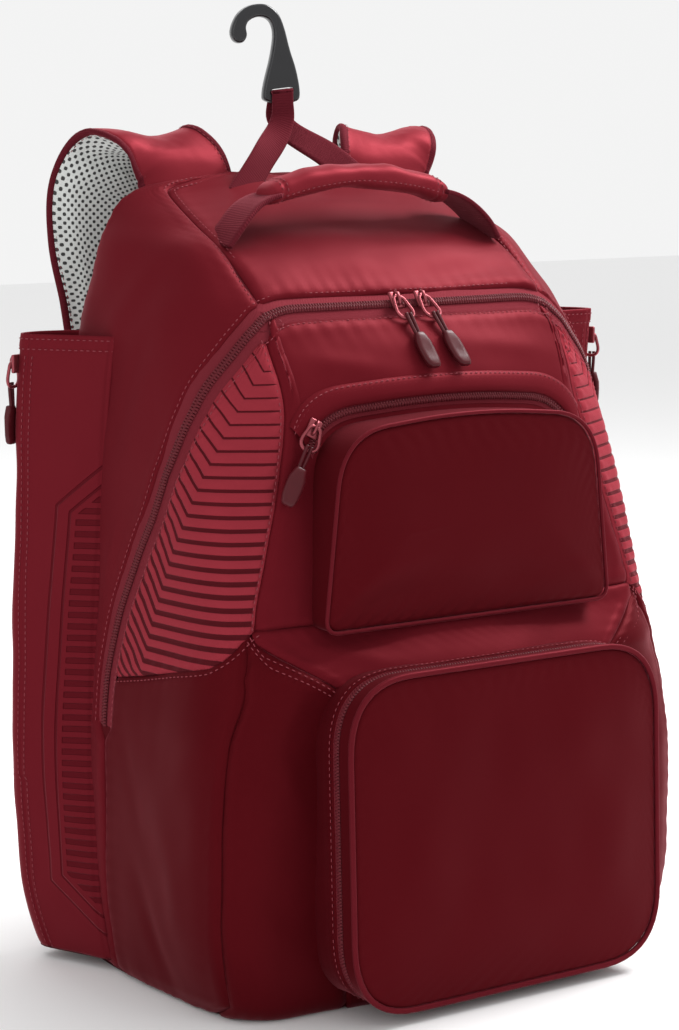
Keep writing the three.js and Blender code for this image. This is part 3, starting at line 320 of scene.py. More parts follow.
zip_all = np.vstack([flipped(zip_half)[::-1], zip_half[1:]])
ZIP = blur(zip_all, 6)
ZIP_OUT = beside(ZIP, ZIP_HALF)
ZIP_IN = beside(ZIP, -ZIP_HALF)
MID = len(ZIP) // 2


def from_z(table):
    """A seam given by height and half-width shares, as around and station on the right."""
    z = np.array([row[0] for row in table]) * HEIGHT
    x = np.array([row[1] for row in table]) * HALF_WIDTH
    station = station_at(z)
    return np.stack([around_at_x(x, station), station], 1)


YOKE_TOP = station_at(0.474 * HEIGHT)
CREASE = from_z(
    [(0.0, 0.89), (0.02, 0.905), (0.13, 0.962), (0.246, 0.955), (0.338, 0.925), (0.42, 0.86), (0.474, 0.806)]
)
YOKE_EDGE = from_z([(0.36, 0.5), (0.403, 0.569), (0.474, 0.806)])


def crossing(curve, around):
    """Where a curve that runs from the middle outwards first passes a value of around."""
    i = int(np.argmax(curve[:, 0] >= around))
    t = (around - curve[i - 1, 0]) / (curve[i, 0] - curve[i - 1, 0])
    return np.vstack([lerp(curve[i - 1], curve[i], t)[None], curve[i:]]), i


zip_in_side, IN_SPLIT = crossing(ZIP_IN[MID:], 1.0)
zip_out_side, OUT_SPLIT = crossing(ZIP_OUT[MID:], 1.0)
zip_in_front = np.vstack([ZIP_IN[MID : MID + IN_SPLIT], zip_in_side[:1]])
zip_out_front = np.vstack([ZIP_OUT[MID : MID + OUT_SPLIT], zip_out_side[:1]])
seam_y = BACK_Y - 0.338 * DEPTH


# Meshes.
def mesh_object(name, points, faces, uv=None, smooth=True):
    mesh = bpy.data.meshes.new(name)
    mesh.from_pydata((np.asarray(points).reshape(-1, 3) * MM).tolist(), [], faces)
    if uv is not None:
        layer = mesh.uv_layers.new(name="UVMap")
        index = np.empty(len(mesh.loops), int)
        mesh.loops.foreach_get("vertex_index", index)
        layer.data.foreach_set("uv", (np.asarray(uv).reshape(-1, 2)[index] * MM).ravel())
    if smooth:
        mesh.polygons.foreach_set("use_smooth", [True] * len(mesh.polygons))
    mesh.update()
    obj = bpy.data.objects.new(name, mesh)
    bpy.context.scene.collection.objects.link(obj)
    return obj


def grid_faces(rows, cols, start=0, wrap=False, turned=False):
    index = np.arange(rows * cols).reshape(rows, cols) + start
    if wrap:
        index = np.hstack([index, index[:, :1]])
    quads = np.stack([index[:-1, :-1], index[:-1, 1:], index[1:, 1:], index[1:, :-1]], -1).reshape(-1, 4)
    return (quads[:, ::-1] if turned else quads).tolist()


def grid_object(name, points, uv, wrap=False, turned=False):
    rows, cols = points.shape[:2]
    return mesh_object(name, points, grid_faces(rows, cols, 0, wrap, turned), uv)


def grid_normals(points):
    du = np.gradient(points, axis=1)
    dv = np.gradient(points, axis=0)
    n = np.cross(du, dv)
    return n / (np.linalg.norm(n, axis=-1, keepdims=True) + 1e-12)


def arc(points, axis):
    step = np.linalg.norm(np.diff(points, axis=axis), axis=-1)
    pad = [(0, 0), (0, 0)]
    pad[axis] = (1, 0)
    return np.pad(np.cumsum(step, axis=axis), pad)


def waves(points, size, seed):
    """Soft seeded noise of about one in height."""
    rng = np.random.default_rng(seed)
    total = np.zeros(points.shape[:-1])
    for _ in range(18):
        way = rng.normal(size=3)
        way /= np.linalg.norm(way)
        total += np.sin(points @ way * (2 * math.pi / (size * rng.uniform(0.6, 1.7))) + rng.uniform(0, 6.28))
    return total / 4.2


def fold(points, start, end, width, height, sharp=1.0):
    """A ridge, or with a negative height a furrow, along a line in space that fades at its ends."""
    a, b = np.array(start, float), np.array(end, float)
    along = b - a
    t = ((points - a) @ along / (along @ along)).clip(0, 1)
    distance = np.linalg.norm(points - (a + t[..., None] * along), axis=-1)
    return height * bell(distance, width) ** sharp * np.sin(math.pi * (0.12 + 0.76 * t)) ** 1.5


def tuck(distance, depth=1.5, width=2.4):
    return -depth * bell(distance, width) + 0.35 * bell(distance - 3.2 * width, 1.5 * width)


def pucker(distance, along, seed, height=0.35, pitch=11.0, reach=9.0):
    wobble = 1.7 * np.sin(along / 37.0 + seed) + 1.1 * np.sin(along / 17.0 + 2.1 * seed)
    return height * np.sin(2 * math.pi * along / pitch + wobble) * np.exp(-distance / reach) * (
        1 - bell(distance, 2.0)
    )


def add_uv(obj, name, values):
    layer = obj.data.uv_layers.new(name=name)
    index = np.empty(len(obj.data.loops), int)
    obj.data.loops.foreach_get("vertex_index", index)
    layer.data.foreach_set("uv", (np.asarray(values).reshape(-1, 2)[index] * MM).ravel())


def patch(
    name,
    left,
    right,
    spacing=3.0,
    relief=None,
    tucks="lrbt",
    skirt=4.0,
    columns=None,
    soft=0.7,
    seed=1,
    pattern=None,
):
    """A cloth panel on the body between two curves in around and station that both run upwards."""
    rows = max(int(max(curve_length(left), curve_length(right)) / spacing), 4)
    left, right = spaced(left, rows), spaced(right, rows)
    if columns is None:
        width = np.linalg.norm(body(left[:, 0], left[:, 1]) - body(right[:, 0], right[:, 1]), axis=1).max()
        columns = max(int(1.15 * width / spacing), 6)
    t = np.linspace(0, 1, columns)[None, :]
    around = lerp(left[:, :1], right[:, :1], t)
    station = lerp(left[:, 1:], right[:, 1:], t)
    return surface(name, around, station, relief, tucks, skirt, soft, seed, pattern)


def surface(name, around, station, relief=None, tucks="lrbt", skirt=4.0, soft=0.7, seed=1, pattern=None):
    p, _, _, normal = body_frame(around, station)
    across, up = arc(p, 1), arc(p, 0)
    near = {
        "l": (across, up),
        "r": (across[:, -1:] - across, up),
        "b": (up, across),
        "t": (up[-1:] - up, across),
    }
    height = soft * waves(p, 95.0, seed) + 0.12 * waves(p, 26.0, seed + 50)
    for k, edge in enumerate(tucks):
        distance, along = near[edge]
        height = height + tuck(distance) + pucker(distance, along, seed + k)
    if relief is not None:
        height = height + relief(p, around, station, near)
    shown = p + normal * height[..., None]
    uv = np.stack([across - across[:, -1:] / 2, up], -1)
    if skirt:
        inner = shown - normal * skirt
        shown = np.pad(shown, ((1, 1), (1, 1), (0, 0)), mode="edge")
        inner = np.pad(inner, ((1, 1), (1, 1), (0, 0)), mode="edge")
        uv = np.pad(uv, ((1, 1), (1, 1), (0, 0)), mode="edge")
        for edge in (np.s_[0], np.s_[-1], np.s_[:, 0], np.s_[:, -1]):
            shown[edge] = inner[edge]
    made = grid_object(name, shown, uv)
    if pattern is not None:
        values = pattern(p, near)
        add_uv(made, "pattern", np.pad(values, ((1, 1), (1, 1), (0, 0)), mode="edge") if skirt else values)
    return made


# Materials.
def new_node(tree, kind, values=(), **settings):
    made = tree.nodes.new(kind)
    for key, value in settings.items():
        setattr(made, key, value)
    for key, value in dict(values).items():
        if isinstance(value, bpy.types.NodeSocket):
            tree.links.new(value, made.inputs[key])
        else:
            made.inputs[key].default_value = value
    return made


def sums(tree, operation, a, b=None):
    values = {0: a} if b is None else {0: a, 1: b}
    return new_node(tree, "ShaderNodeMath", values, operation=operation).outputs[0]


def blend_colours(tree, factor, first, second):
    """The first colour where the factor is 0 and the second where it is 1."""
    mix = new_node(tree, "ShaderNodeMix", {"Factor": factor}, data_type="RGBA")
    for end, colour in zip((s for s in mix.inputs if s.type == "RGBA"), (first, second)):
        if isinstance(colour, bpy.types.NodeSocket):
            tree.links.new(colour, end)
        else:
            end.default_value = (*colour, 1)
    return next(s for s in mix.outputs if s.type == "RGBA")


def start_material(name):
    material = bpy.data.materials.new(name)
    material.use_nodes = True
    tree = material.node_tree
    return material, tree, tree.nodes["Principled BSDF"]


def threads(tree, across, along, pitch, slant=0.0):
    """A woven height from two directions of thread."""
    u = sums(tree, "SINE", sums(tree, "MULTIPLY", across, 2 * math.pi / pitch))
    if slant:
        both = sums(tree, "ADD", sums(tree, "MULTIPLY", across, slant), along)
        v = sums(tree, "SINE", sums(tree, "MULTIPLY", both, 2 * math.pi / pitch))
    else:
        v = sums(tree, "SINE", sums(tree, "MULTIPLY", along, 2 * math.pi / pitch))
    return sums(tree, "MULTIPLY", u, v)


CLOTH_WHITE_GLOSS, CLOTH_RED_GLOSS = 0.03, 0.22
CLOTH_GLOSS_TINT = (1.0, 0.45, 0.5, 1)
CHEVRON_PITCH, LADDER_PITCH = 0.0078, 0.0074


def ramp(tree, value, start, end, low=0.0, high=1.0):
    """A smooth step of a value from low at start to high at end."""
    sockets = {"Value": value, "From Min": start, "From Max": end, "To Min": low, "To Max": high}
    return new_node(tree, "ShaderNodeMapRange", sockets, interpolation_type="SMOOTHSTEP").outputs[0]


def pattern_uv(tree):
    layer = new_node(tree, "ShaderNodeUVMap", uv_map="pattern")
    return new_node(tree, "ShaderNodeSeparateXYZ", {0: layer.outputs[0]}).outputs


def triangle(tree, value, pitch):
    """One in the middle of each pitch and zero at its ends."""
    part = sums(tree, "FRACT", sums(tree, "MULTIPLY", value, 1 / pitch))
    return sums(
        tree,
        "SUBTRACT",
        1.0,
        sums(tree, "MULTIPLY", sums(tree, "ABSOLUTE", sums(tree, "SUBTRACT", part, 0.5)), 2.0),
    )


def chevron_lines(tree):
    """Grooves of the ribbed gusset, thin above and broad below, where the colour is darkened as painted
    shade.
    """
    across, level, _ = pattern_uv(tree)
    wave = triangle(tree, level, CHEVRON_PITCH)
    broad = ramp(tree, level, 0.4, 0.24, 0.0, 0.3)
    groove = ramp(tree, sums(tree, "ADD", wave, broad), 0.84, 0.95)
    return sums(tree, "MULTIPLY", groove, ramp(tree, across, 0.001, 0.004))


def ladder_lines(tree):
    """A stepped frame with level bars inside it on a sleeve's front wall, where the colour is darkened as
    painted shade on the embossing.
    """
    inside, up, _ = pattern_uv(tree)
    bars = ramp(tree, triangle(tree, up, LADDER_PITCH), 0.42, 0.58)
    bars = sums(tree, "MULTIPLY", bars, ramp(tree, inside, -0.0135, -0.0145))
    thin = sums(tree, "ABSOLUTE", sums(tree, "ADD", inside, 0.0095))
    line = ramp(tree, thin, 0.0011, 0.0004)
    edge = sums(tree, "ABSOLUTE", inside)
    return sums(tree, "MAXIMUM", sums(tree, "MAXIMUM", bars, line), ramp(tree, edge, 0.0013, 0.0005))


def cloth(
    name,
    colour,
    light,
    roughness=0.44,
    pitch=0.0009,
    depth=0.00002,
    slant=0.0,
    lines=None,
    sunk=0.0006,
    shade=0.5,
):
    material, tree, shader = start_material(name)
    coords = new_node(tree, "ShaderNodeTexCoord")
    uv = new_node(tree, "ShaderNodeSeparateXYZ", {0: coords.outputs["UV"]})
    weave = threads(tree, uv.outputs[0], uv.outputs[1], pitch, slant)
    broad = new_node(
        tree, "ShaderNodeTexNoise", {"Vector": coords.outputs["Object"], "Scale": 14.0, "Detail": 4.0}
    )
    fine = new_node(
        tree, "ShaderNodeTexNoise", {"Vector": coords.outputs["Object"], "Scale": 900.0, "Detail": 2.0}
    )
    blend = sums(
        tree,
        "ADD",
        sums(tree, "MULTIPLY", broad.outputs["Fac"], 0.7),
        sums(tree, "MULTIPLY", fine.outputs["Fac"], 0.3),
    )
    result = blend_colours(tree, blend, colour, light)
    grooves = lines(tree) if lines else None
    # Painted shade: the colour is darkened by the shade factor along the pattern's grooves and lines.
    if lines:
        result = blend_colours(tree, grooves, result, [shade * c for c in colour])
    tree.links.new(result, shader.inputs["Base Color"])
    rough = new_node(
        tree,
        "ShaderNodeMapRange",
        {
            "Value": broad.outputs["Fac"],
            "From Min": 0.3,
            "From Max": 0.7,
            "To Min": roughness - 0.05,
            "To Max": roughness + 0.05,
        },
    )
    tree.links.new(rough.outputs[0], shader.inputs["Roughness"])
    bump = new_node(tree, "ShaderNodeBump", {"Height": weave, "Distance": depth, "Strength": 0.6})
    grain = new_node(
        tree,
        "ShaderNodeBump",
        {"Height": fine.outputs["Fac"], "Distance": 0.00003, "Strength": 0.5, "Normal": bump.outputs[0]},
    )
    last = grain
    if lines:
        low = sums(tree, "SUBTRACT", 1.0, grooves)
        last = new_node(
            tree,
            "ShaderNodeBump",
            {"Height": low, "Distance": sunk, "Strength": 0.9, "Normal": grain.outputs[0]},
        )
    tree.links.new(last.outputs[0], shader.inputs["Normal"])
    shader.inputs["Specular IOR Level"].default_value = CLOTH_WHITE_GLOSS
    shader.inputs["Metallic"].default_value = CLOTH_RED_GLOSS
    shader.inputs["Specular Tint"].default_value = CLOTH_GLOSS_TINT
    shader.inputs["Sheen Weight"].default_value = 0.25
    shader.inputs["Sheen Roughness"].default_value = 0.35
    shader.inputs["Sheen Tint"].default_value = (0.85, 0.22, 0.27, 1)
    return material


def hard(name, colour, roughness, metallic=0.0, grain=0.00003, scale=1400.0, specular=0.5):
    material, tree, shader = start_material(name)
    coords = new_node(tree, "ShaderNodeTexCoord")
    noise = new_node(
        tree, "ShaderNodeTexNoise", {"Vector": coords.outputs["Object"], "Scale": scale, "Detail": 3.0}
    )
    wear = new_node(
        tree, "ShaderNodeTexNoise", {"Vector": coords.outputs["Object"], "Scale": 120.0, "Detail": 4.0}
    )
    rough = new_node(
        tree,
        "ShaderNodeMapRange",
        {
            "Value": wear.outputs["Fac"],
            "From Min": 0.3,
            "From Max": 0.7,
            "To Min": roughness * 0.8,
            "To Max": roughness * 1.25,
        },
    )
    tree.links.new(rough.outputs[0], shader.inputs["Roughness"])
    dark, pale = ([f * c for c in colour] for f in (0.85, 1.15))
    tree.links.new(blend_colours(tree, wear.outputs["Fac"], dark, pale), shader.inputs["Base Color"])
    bump = new_node(
        tree, "ShaderNodeBump", {"Height": noise.outputs["Fac"], "Distance": grain, "Strength": 0.6}
    )
    tree.links.new(bump.outputs[0], shader.inputs["Normal"])
    shader.inputs["Metallic"].default_value = metallic
    shader.inputs["Specular IOR Level"].default_value = specular
    return material


def spacer_mesh(name, colour, hole, pitch=0.0042):
    """Open knit: light threads round rows of dark round holes."""
    material, tree, shader = start_material(name)
    coords = new_node(tree, "ShaderNodeTexCoord")
    uv = new_node(tree, "ShaderNodeSeparateXYZ", {0: coords.outputs["UV"]})
    u = sums(tree, "SINE", sums(tree, "MULTIPLY", uv.outputs[0], 2 * math.pi / pitch))
    v = sums(tree, "SINE", sums(tree, "MULTIPLY", uv.outputs[1], 2 * math.pi / pitch))
    field = sums(tree, "MULTIPLY", u, v)
    holes = new_node(
        tree,
        "ShaderNodeMapRange",
        {"Value": field, "From Min": 0.25, "From Max": 0.5},
        interpolation_type="SMOOTHSTEP",
    )
    tree.links.new(blend_colours(tree, holes.outputs[0], colour, hole), shader.inputs["Base Color"])
    bump = new_node(
        tree,
        "ShaderNodeBump",
        {"Height": sums(tree, "SUBTRACT", 1.0, holes.outputs[0]), "Distance": 0.0008, "Strength": 0.9},
    )
    tree.links.new(bump.outputs[0], shader.inputs["Normal"])
    shader.inputs["Roughness"].default_value = 0.85
    shader.inputs["Sheen Weight"].default_value = 0.3
    return material


SATIN = cloth("satin", (0.0998, 0.0054, 0.0095), (0.1254, 0.0082, 0.0134))
# Painted light: a lighter copy of the same satin for the grip and strap pads, which face the key light.
SATIN_LIT = cloth("satin_painted_light", (0.1600, 0.0128, 0.0198), (0.2048, 0.0192, 0.0282))
# Painted shade: a darker copy of the same satin for the pockets, lower front, lower sides, zip ends, back,
# base and sleeve floors.
SATIN_SHADED = cloth("satin_painted_shade", (0.0640, 0.0028, 0.0049), (0.0794, 0.0038, 0.0064))
# Painted shade: the gusset's grooves are darkened to 0.3 of the colour.
SATIN_RIB = cloth(
    "satin_rib",
    (0.2304, 0.0218, 0.0320),
    (0.2816, 0.0294, 0.0422),
    roughness=0.5,
    lines=chevron_lines,
    shade=0.3,
)
# Painted shade: the sleeve's embossed frame and bars are darkened to 0.75 of the colour.
SATIN_SLEEVE = cloth(
    "satin_sleeve",
    (0.1178, 0.0082, 0.0134),
    (0.1434, 0.0110, 0.0173),
    lines=ladder_lines,
    sunk=0.0009,
    shade=0.75,
)
SATIN_PIPING = cloth("satin_piping", (0.0896, 0.0061, 0.0102), (0.1178, 0.0102, 0.0160))
WEBBING = cloth(
    "webbing_weave",
    (0.0666, 0.0049, 0.0087),
    (0.1472, 0.0192, 0.0294),
    roughness=0.6,
    pitch=0.0017,
    depth=0.00025,
    slant=1.0,
)
TAPE = cloth(
    "tape_weave",
    (0.1280, 0.0128, 0.0192),
    (0.1920, 0.0256, 0.0358),
    roughness=0.6,
    pitch=0.0012,
    depth=0.00012,
)
COIL = hard("coil_nylon", (0.120, 0.0150, 0.0210), 0.42, specular=0.12)
THREAD = hard("thread", (0.230, 0.0400, 0.0520), 0.55, specular=0.1)
PULL_METAL = hard("pull_metal", (0.280, 0.0550, 0.0680), 0.3, metallic=0.75)
PULL_RUBBER = hard("pull_rubber", (0.070, 0.0065, 0.0100), 0.35, specular=0.2)
BLACK = hard("black_gloss", (0.012, 0.012, 0.014), 0.22)
MESH_LIGHT = spacer_mesh("mesh_light", (0.62, 0.64, 0.62), (0.03, 0.03, 0.03), 0.0052)
MESH_DARK = spacer_mesh("mesh_dark", (0.035, 0.035, 0.037), (0.006, 0.006, 0.006), 0.005)


def coordinates(mesh):
    found = np.empty(len(mesh.vertices) * 3)
    mesh.vertices.foreach_get("co", found)
    return found.reshape(-1, 3)


VOXEL, AIR_PRESSURE, CLOTH_FRAMES = 5.0, 4, 20
NEAR_POINTS, NEAR_SOFT = 6, 0.002


def plump(obj, most, free):
    """Moves a padded piece by cloth under air pressure, at most so many mm where it is free."""
    scene = bpy.context.scene
    work = bpy.data.objects.new(f"{obj.name}_form", obj.data.copy())
    scene.collection.objects.link(work)
    closed = bmesh.new()
    closed.from_mesh(work.data)
    bmesh.ops.holes_fill(closed, edges=closed.edges)
    closed.to_mesh(work.data)
    closed.free()
    remesh = work.modifiers.new("remesh", "REMESH")
    remesh.mode = "VOXEL"
    remesh.voxel_size = VOXEL * MM
    even = bpy.data.meshes.new_from_object(work.evaluated_get(bpy.context.evaluated_depsgraph_get()))
    work.modifiers.clear()
    work.data = even
    rest = coordinates(even)
    cloth_made = work.modifiers.new("cloth", "CLOTH")
    settings = cloth_made.settings
    settings.use_pressure = True
    settings.uniform_pressure_force = AIR_PRESSURE
    settings.effector_weights.gravity = 0
    cloth_made.point_cache.frame_start, cloth_made.point_cache.frame_end = 1, CLOTH_FRAMES
    for frame_number in range(1, CLOTH_FRAMES + 1):
        scene.frame_set(frame_number)
    moved = coordinates(work.evaluated_get(bpy.context.evaluated_depsgraph_get()).data) - rest
    moved -= moved.mean(0)
    length = np.linalg.norm(moved, axis=1)
    moved *= (np.minimum(length, most * MM) / np.maximum(length, 1e-9))[:, None]
    tree = KDTree(len(rest))
    for k, point in enumerate(rest):
        tree.insert(point, k)
    tree.balance()
    points = coordinates(obj.data)
    change = np.zeros_like(points)
    for k, point in enumerate(points):
        near = tree.find_n(point, NEAR_POINTS)
        weights = np.array([1 / (d + NEAR_SOFT) for _, _, d in near])
        change[k] = weights @ moved[[j for _, j, _ in near]] / weights.sum()
    obj.data.vertices.foreach_set("co", (points + change * np.asarray(free).reshape(-1, 1)).ravel())
    obj.data.update()
    bpy.data.objects.remove(work)


def dress(obj, material, slot, *nodes, padded=None):
    obj.data.materials.append(material)
    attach(obj, "root")
    if nodes:
        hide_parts(*nodes)
    return obj


# Stitches: short raised threads in rows.
STITCHES = []


def stitch(points, normals, length=2.7, gap=1.3, radius=0.34, lift=0.12):
    """A row of stitches along points with outward normals."""
    points = np.asarray(points, float)
    total = np.linalg.norm(np.diff(points, axis=0), axis=1).sum()
    count = int(total / (length + gap))
    if count < 2:
        return
    both = resample(np.hstack([points, normals]), 8 * count)
    p, n = both[:, :3], both[:, 3:]
    share = length / (length + gap)
    for k in range(count):
        a = p[8 * k]
        b = p[min(8 * k + max(int(8 * share), 1), len(p) - 1)]
        STITCHES.append((a, b, n[8 * k], radius, lift))


def surface_stitch(curve, height=0.0, **sizes):
    p, _, _, normal = body_frame(curve[:, 0], curve[:, 1])
    stitch(p + normal * height, normal, **sizes)


def make_stitches(name):
    points, faces = [], []
    for a, b, n, radius, lift in STITCHES:
        along = b - a
        long = np.linalg.norm(along)
        if long < 0.2:
            continue
        along = along / long
        across = np.cross(n, along)
        base = len(points)
        middle = (a + b) / 2 + n * (radius * 0.6 + lift)
        for f, w in ((-0.28, 1.0), (0.28, 1.0)):
            c = middle + along * (f * long)
            points += [c + across * radius * w, c + n * radius * w, c - across * radius * w]
        points += [a + n * lift, b + n * lift]
        p, q = base + 6, base + 7
        faces += [
            (base, base + 1, base + 4, base + 3),
            (base + 1, base + 2, base + 5, base + 4),
            (p, base + 1, base),
            (p, base + 2, base + 1),
            (q, base + 3, base + 4),
            (q, base + 4, base + 5),
        ]
    return mesh_object(name, np.array(points), faces)


def tube(points, radius, sides=8, closed=False, scale=None):
    """Rings of points round a line."""
    points = np.asarray(points, float)
    if closed:
        along = np.roll(points, -1, 0) - np.roll(points, 1, 0)
    else:
        along = np.gradient(points, axis=0)
    along /= np.linalg.norm(along, axis=1, keepdims=True) + 1e-12
    up = np.array([0.0, 0.0, 1.0]) if abs(along[0, 2]) < 0.9 else np.array([0.0, 1.0, 0.0])
    rings = []
    for i, (p, d) in enumerate(zip(points, along)):
        up = up - d * (up @ d)
        up /= np.linalg.norm(up) + 1e-12
        other = np.cross(d, up)
        turn = np.arange(sides) * 2 * math.pi / sides
        r = radius * (1 if scale is None else scale[i])
        rings.append(p + r * (np.cos(turn)[:, None] * up + np.sin(turn)[:, None] * other))
    return np.array(rings)


def tube_object(name, points, radius, sides=8, closed=False, scale=None):
    rings = tube(points, radius, sides, closed, scale)
    count = len(rings)
    if closed:
        rings = np.concatenate([rings, rings[:1]])
    along = arc(rings[:, :1], 0)[:, 0]
    uv = np.stack(
        np.broadcast_arrays(np.arange(sides)[None, :] * (2 * math.pi * radius / sides), along[:, None]), -1
    )
    faces = grid_faces(len(rings), sides, 0, wrap=True, turned=True)
    if closed:
        flat = rings.reshape(-1, 3)
    else:
        flat = rings.reshape(-1, 3)
        faces += [list(range(sides)), list(range((count - 1) * sides, count * sides))[::-1]]
    return mesh_object(name, flat, faces, uv)


def zip_teeth(name, points, normals, half=2.3, pitch=1.9, high=1.3):
    """Two meshing rows of a nylon coil."""
    points = np.asarray(points, float)
    total = np.linalg.norm(np.diff(points, axis=0), axis=1).sum()
    count = int(total / pitch) * 2
    both = resample(np.hstack([points, normals]), count)
    p, n = both[:, :3], both[:, 3:]
    along = np.gradient(p, axis=0)
    along /= np.linalg.norm(along, axis=1, keepdims=True)
    across = np.cross(n, along)
    pts, faces = [], []
    shape = [(-0.45, 0.0), (-0.3, 0.75), (0.0, 1.0), (0.3, 0.75), (0.45, 0.0)]
    for k in range(count):
        side = 1 if k % 2 else -1
        base = len(pts)
        for w, h in ((-0.35, 0.5), (0.25, 1.0), (0.8, 0.9), (1.0, 0.25)):
            c = p[k] + across[k] * (side * w * half)
            pts += [c + along[k] * (f * pitch) + n[k] * (high * h * g) for f, g in shape]
        quads = grid_faces(4, 5, base, turned=side > 0)
        faces += quads
    return mesh_object(name, np.array(pts), faces)


# Lid, gussets, yoke and lower front.
def centre_relief(p, around, station, near):
    x = p[..., 0]
    h = 2.2 * bell(near["t"][0] - 30, 24) * (1 - (x / 130) ** 2).clip(0, 1)
    h = h + fold(p, (-108, -100, 405), (-30, -104, 388), 7, 1.2)
    h = h + fold(p, (-60, -104, 398), (70, -104, 392), 9, -0.9)
    h = h + fold(p, (20, -104, 410), (104, -100, 396), 7, 1.0)
    for k in range(9):
        high = 250 + 12.5 * k
        bend = 5 * math.sin(1.7 * k)
        h = h + fold(
            p, (-150 + 2.2 * k, -120, high), (-112, -138, high + 5 + bend), 4.2, 1.1 if k % 2 else -1.0
        )
        h = h + fold(
            p, (150 - 2.2 * k, -120, high + 3), (114, -138, high + 8 - bend), 4.2, 0.9 if k % 2 else -0.8
        )
    return h


columns = 110
top_curve = spaced(np.vstack([flipped(zip_in_front)[::-1], zip_in_front[1:]]), columns)
bottom_curve = spaced(np.array([[a, YOKE_TOP] for a in np.linspace(-1, 1, 80)]), columns)
rise = np.linspace(0, 1, 76)[:, None]
dress(
    surface(
        "lid_panel",
        lerp(bottom_curve[None, :, 0], top_curve[None, :, 0], rise),
        lerp(bottom_curve[None, :, 1], top_curve[None, :, 1], rise),
        centre_relief,
        seed=3,
        soft=0.5,
    ),
    SATIN,
    "panel_cloth",
    "centre_panel",
)

GUSSET_PITCH = 7.8
CHEVRON_HIGH, CHEVRON_LOW = 14.0, 36.0


def gusset_level(p, near):
    to_zip = near["l"][0] if p[0, 0, 0] < 0 else near["r"][0]
    share = np.clip((0.845 * HEIGHT - p[..., 2]) / (0.45 * HEIGHT), 0, 1)
    reach = lerp(CHEVRON_HIGH, CHEVRON_LOW, share)
    return p[..., 2] - 0.7 * np.maximum(0, reach - to_zip)


def gusset_pattern(p, near):
    to_panel = near["r"][0] if p[0, 0, 0] < 0 else near["l"][0]
    return np.stack([to_panel, gusset_level(p, near)], -1)


def gusset_relief(p, around, station, near):
    to_zip = near["l"][0] if p[0, 0, 0] < 0 else near["r"][0]
    to_panel = near["r"][0] if p[0, 0, 0] < 0 else near["l"][0]
    wave = 0.5 - 0.5 * np.cos(2 * math.pi * gusset_level(p, near) / GUSSET_PITCH)
    edge = (1 - bell(to_panel, 5)) * (1 - bell(to_zip, 4)) * (1 - bell(near["b"][0], 5))
    return -0.7 * wave**3 * edge + 1.2 * bell(to_zip - 36, 22)


gusset_zip = zip_in_side[zip_in_side[:, 1] > station_at(197.5)][::-1]
gusset_edge = np.array([[1.0, s] for s in np.linspace(YOKE_TOP, zip_in_side[0, 1], 60)])
for side, name in ((1, "right"), (-1, "left")):
    inner, outer = gusset_edge * [side, 1], gusset_zip * [side, 1]
    pair = (inner, outer) if side > 0 else (outer, inner)
    dress(
        patch(
            f"gusset_panel_{name}",
            *pair,
            spacing=1.35,
            relief=gusset_relief,
            soft=0.4,
            seed=7,
            pattern=gusset_pattern,
        ),
        SATIN_RIB,
        "ribbed_cloth",
        f"gusset_{name}",
    )


def yoke_relief(p, around, station, near):
    h = fold(p, (-130, -130, 236), (-60, -150, 214), 7, 1.2)
    h = h + fold(p, (-95, -150, 238), (-20, -165, 222), 8, -1.1)
    h = h + fold(p, (60, -160, 220), (128, -135, 236), 7, 1.1)
    h = h + fold(p, (-40, -160, 234), (90, -160, 240), 6, 1.0)
    h = h + fold(p, (10, -165, 214), (110, -150, 226), 8, -0.9)
    return h


dress(
    patch("yoke_panel", flipped(YOKE_EDGE), YOKE_EDGE, spacing=2.2, relief=yoke_relief, seed=11),
    SATIN,
    "body_cloth",
    "front_yoke",
)


def strip_relief(p, around, station, near):
    side = np.sign(p[0, 0, 0])
    h = fold(p, (side * 160, -120, 205), (side * 132, -150, 130), 8, 1.3)
    h = h + fold(p, (side * 172, -110, 120), (side * 140, -150, 60), 9, -1.2)
    h = h + fold(p, (side * 176, -110, 90), (side * 150, -145, 20), 7, 1.1)
    return h


inner_foot = from_z([(0.0, 0.5), (0.18, 0.5), (0.36, 0.5)])
inner_edge = np.vstack([inner_foot[:-1], YOKE_EDGE])
dress(
    patch("lower_front_middle", flipped(inner_foot), inner_foot, spacing=5, tucks="", seed=12, soft=0.3),
    SATIN_SHADED,
    "panel_cloth",
    "lower_front_panel",
)
for side, name in ((1, "right"), (-1, "left")):
    a, b = inner_edge * [side, 1], CREASE * [side, 1]
    pair = (a, b) if side > 0 else (b, a)
    dress(
        patch(f"lower_front_{name}", *pair, spacing=2.6, relief=strip_relief, seed=13),
        SATIN_SHADED,
        "panel_cloth",
    )


# Sides, hood, back and base.
seam_low = np.array([[float(around_at_y(seam_y, s)[0]), s] for s in np.linspace(0, station_at(155), 24)])
zip_in_low = zip_in_side[::-1]
lower_rear = np.vstack([seam_low, zip_in_low[zip_in_low[:, 1] < station_at(199)]])


def lower_side_relief(p, around, station, near):
    side = np.sign(p[0, 0, 0])
    h = fold(p, (side * 176, -100, 40), (side * 184, -60, 150), 12, 1.6)
    h = h + fold(p, (side * 178, -70, 14), (side * 186, -40, 80), 8, -1.6)
    h = h + fold(p, (side * 170, -120, 190), (side * 182, -70, 120), 10, 1.0)
    h = h + fold(p, (side * 182, -20, 170), (side * 186, -50, 100), 9, -1.2)
    return h


side_low = seam_low
zip_out_low = zip_out_side[::-1]
side_front = np.vstack(
    [side_low, zip_out_low, np.array([[1.0, s] for s in np.linspace(zip_out_side[0, 1] + 4, TOP, 60)])]
)
side_rear = np.array([[4.0, s] for s in np.linspace(0, TOP, 120)])


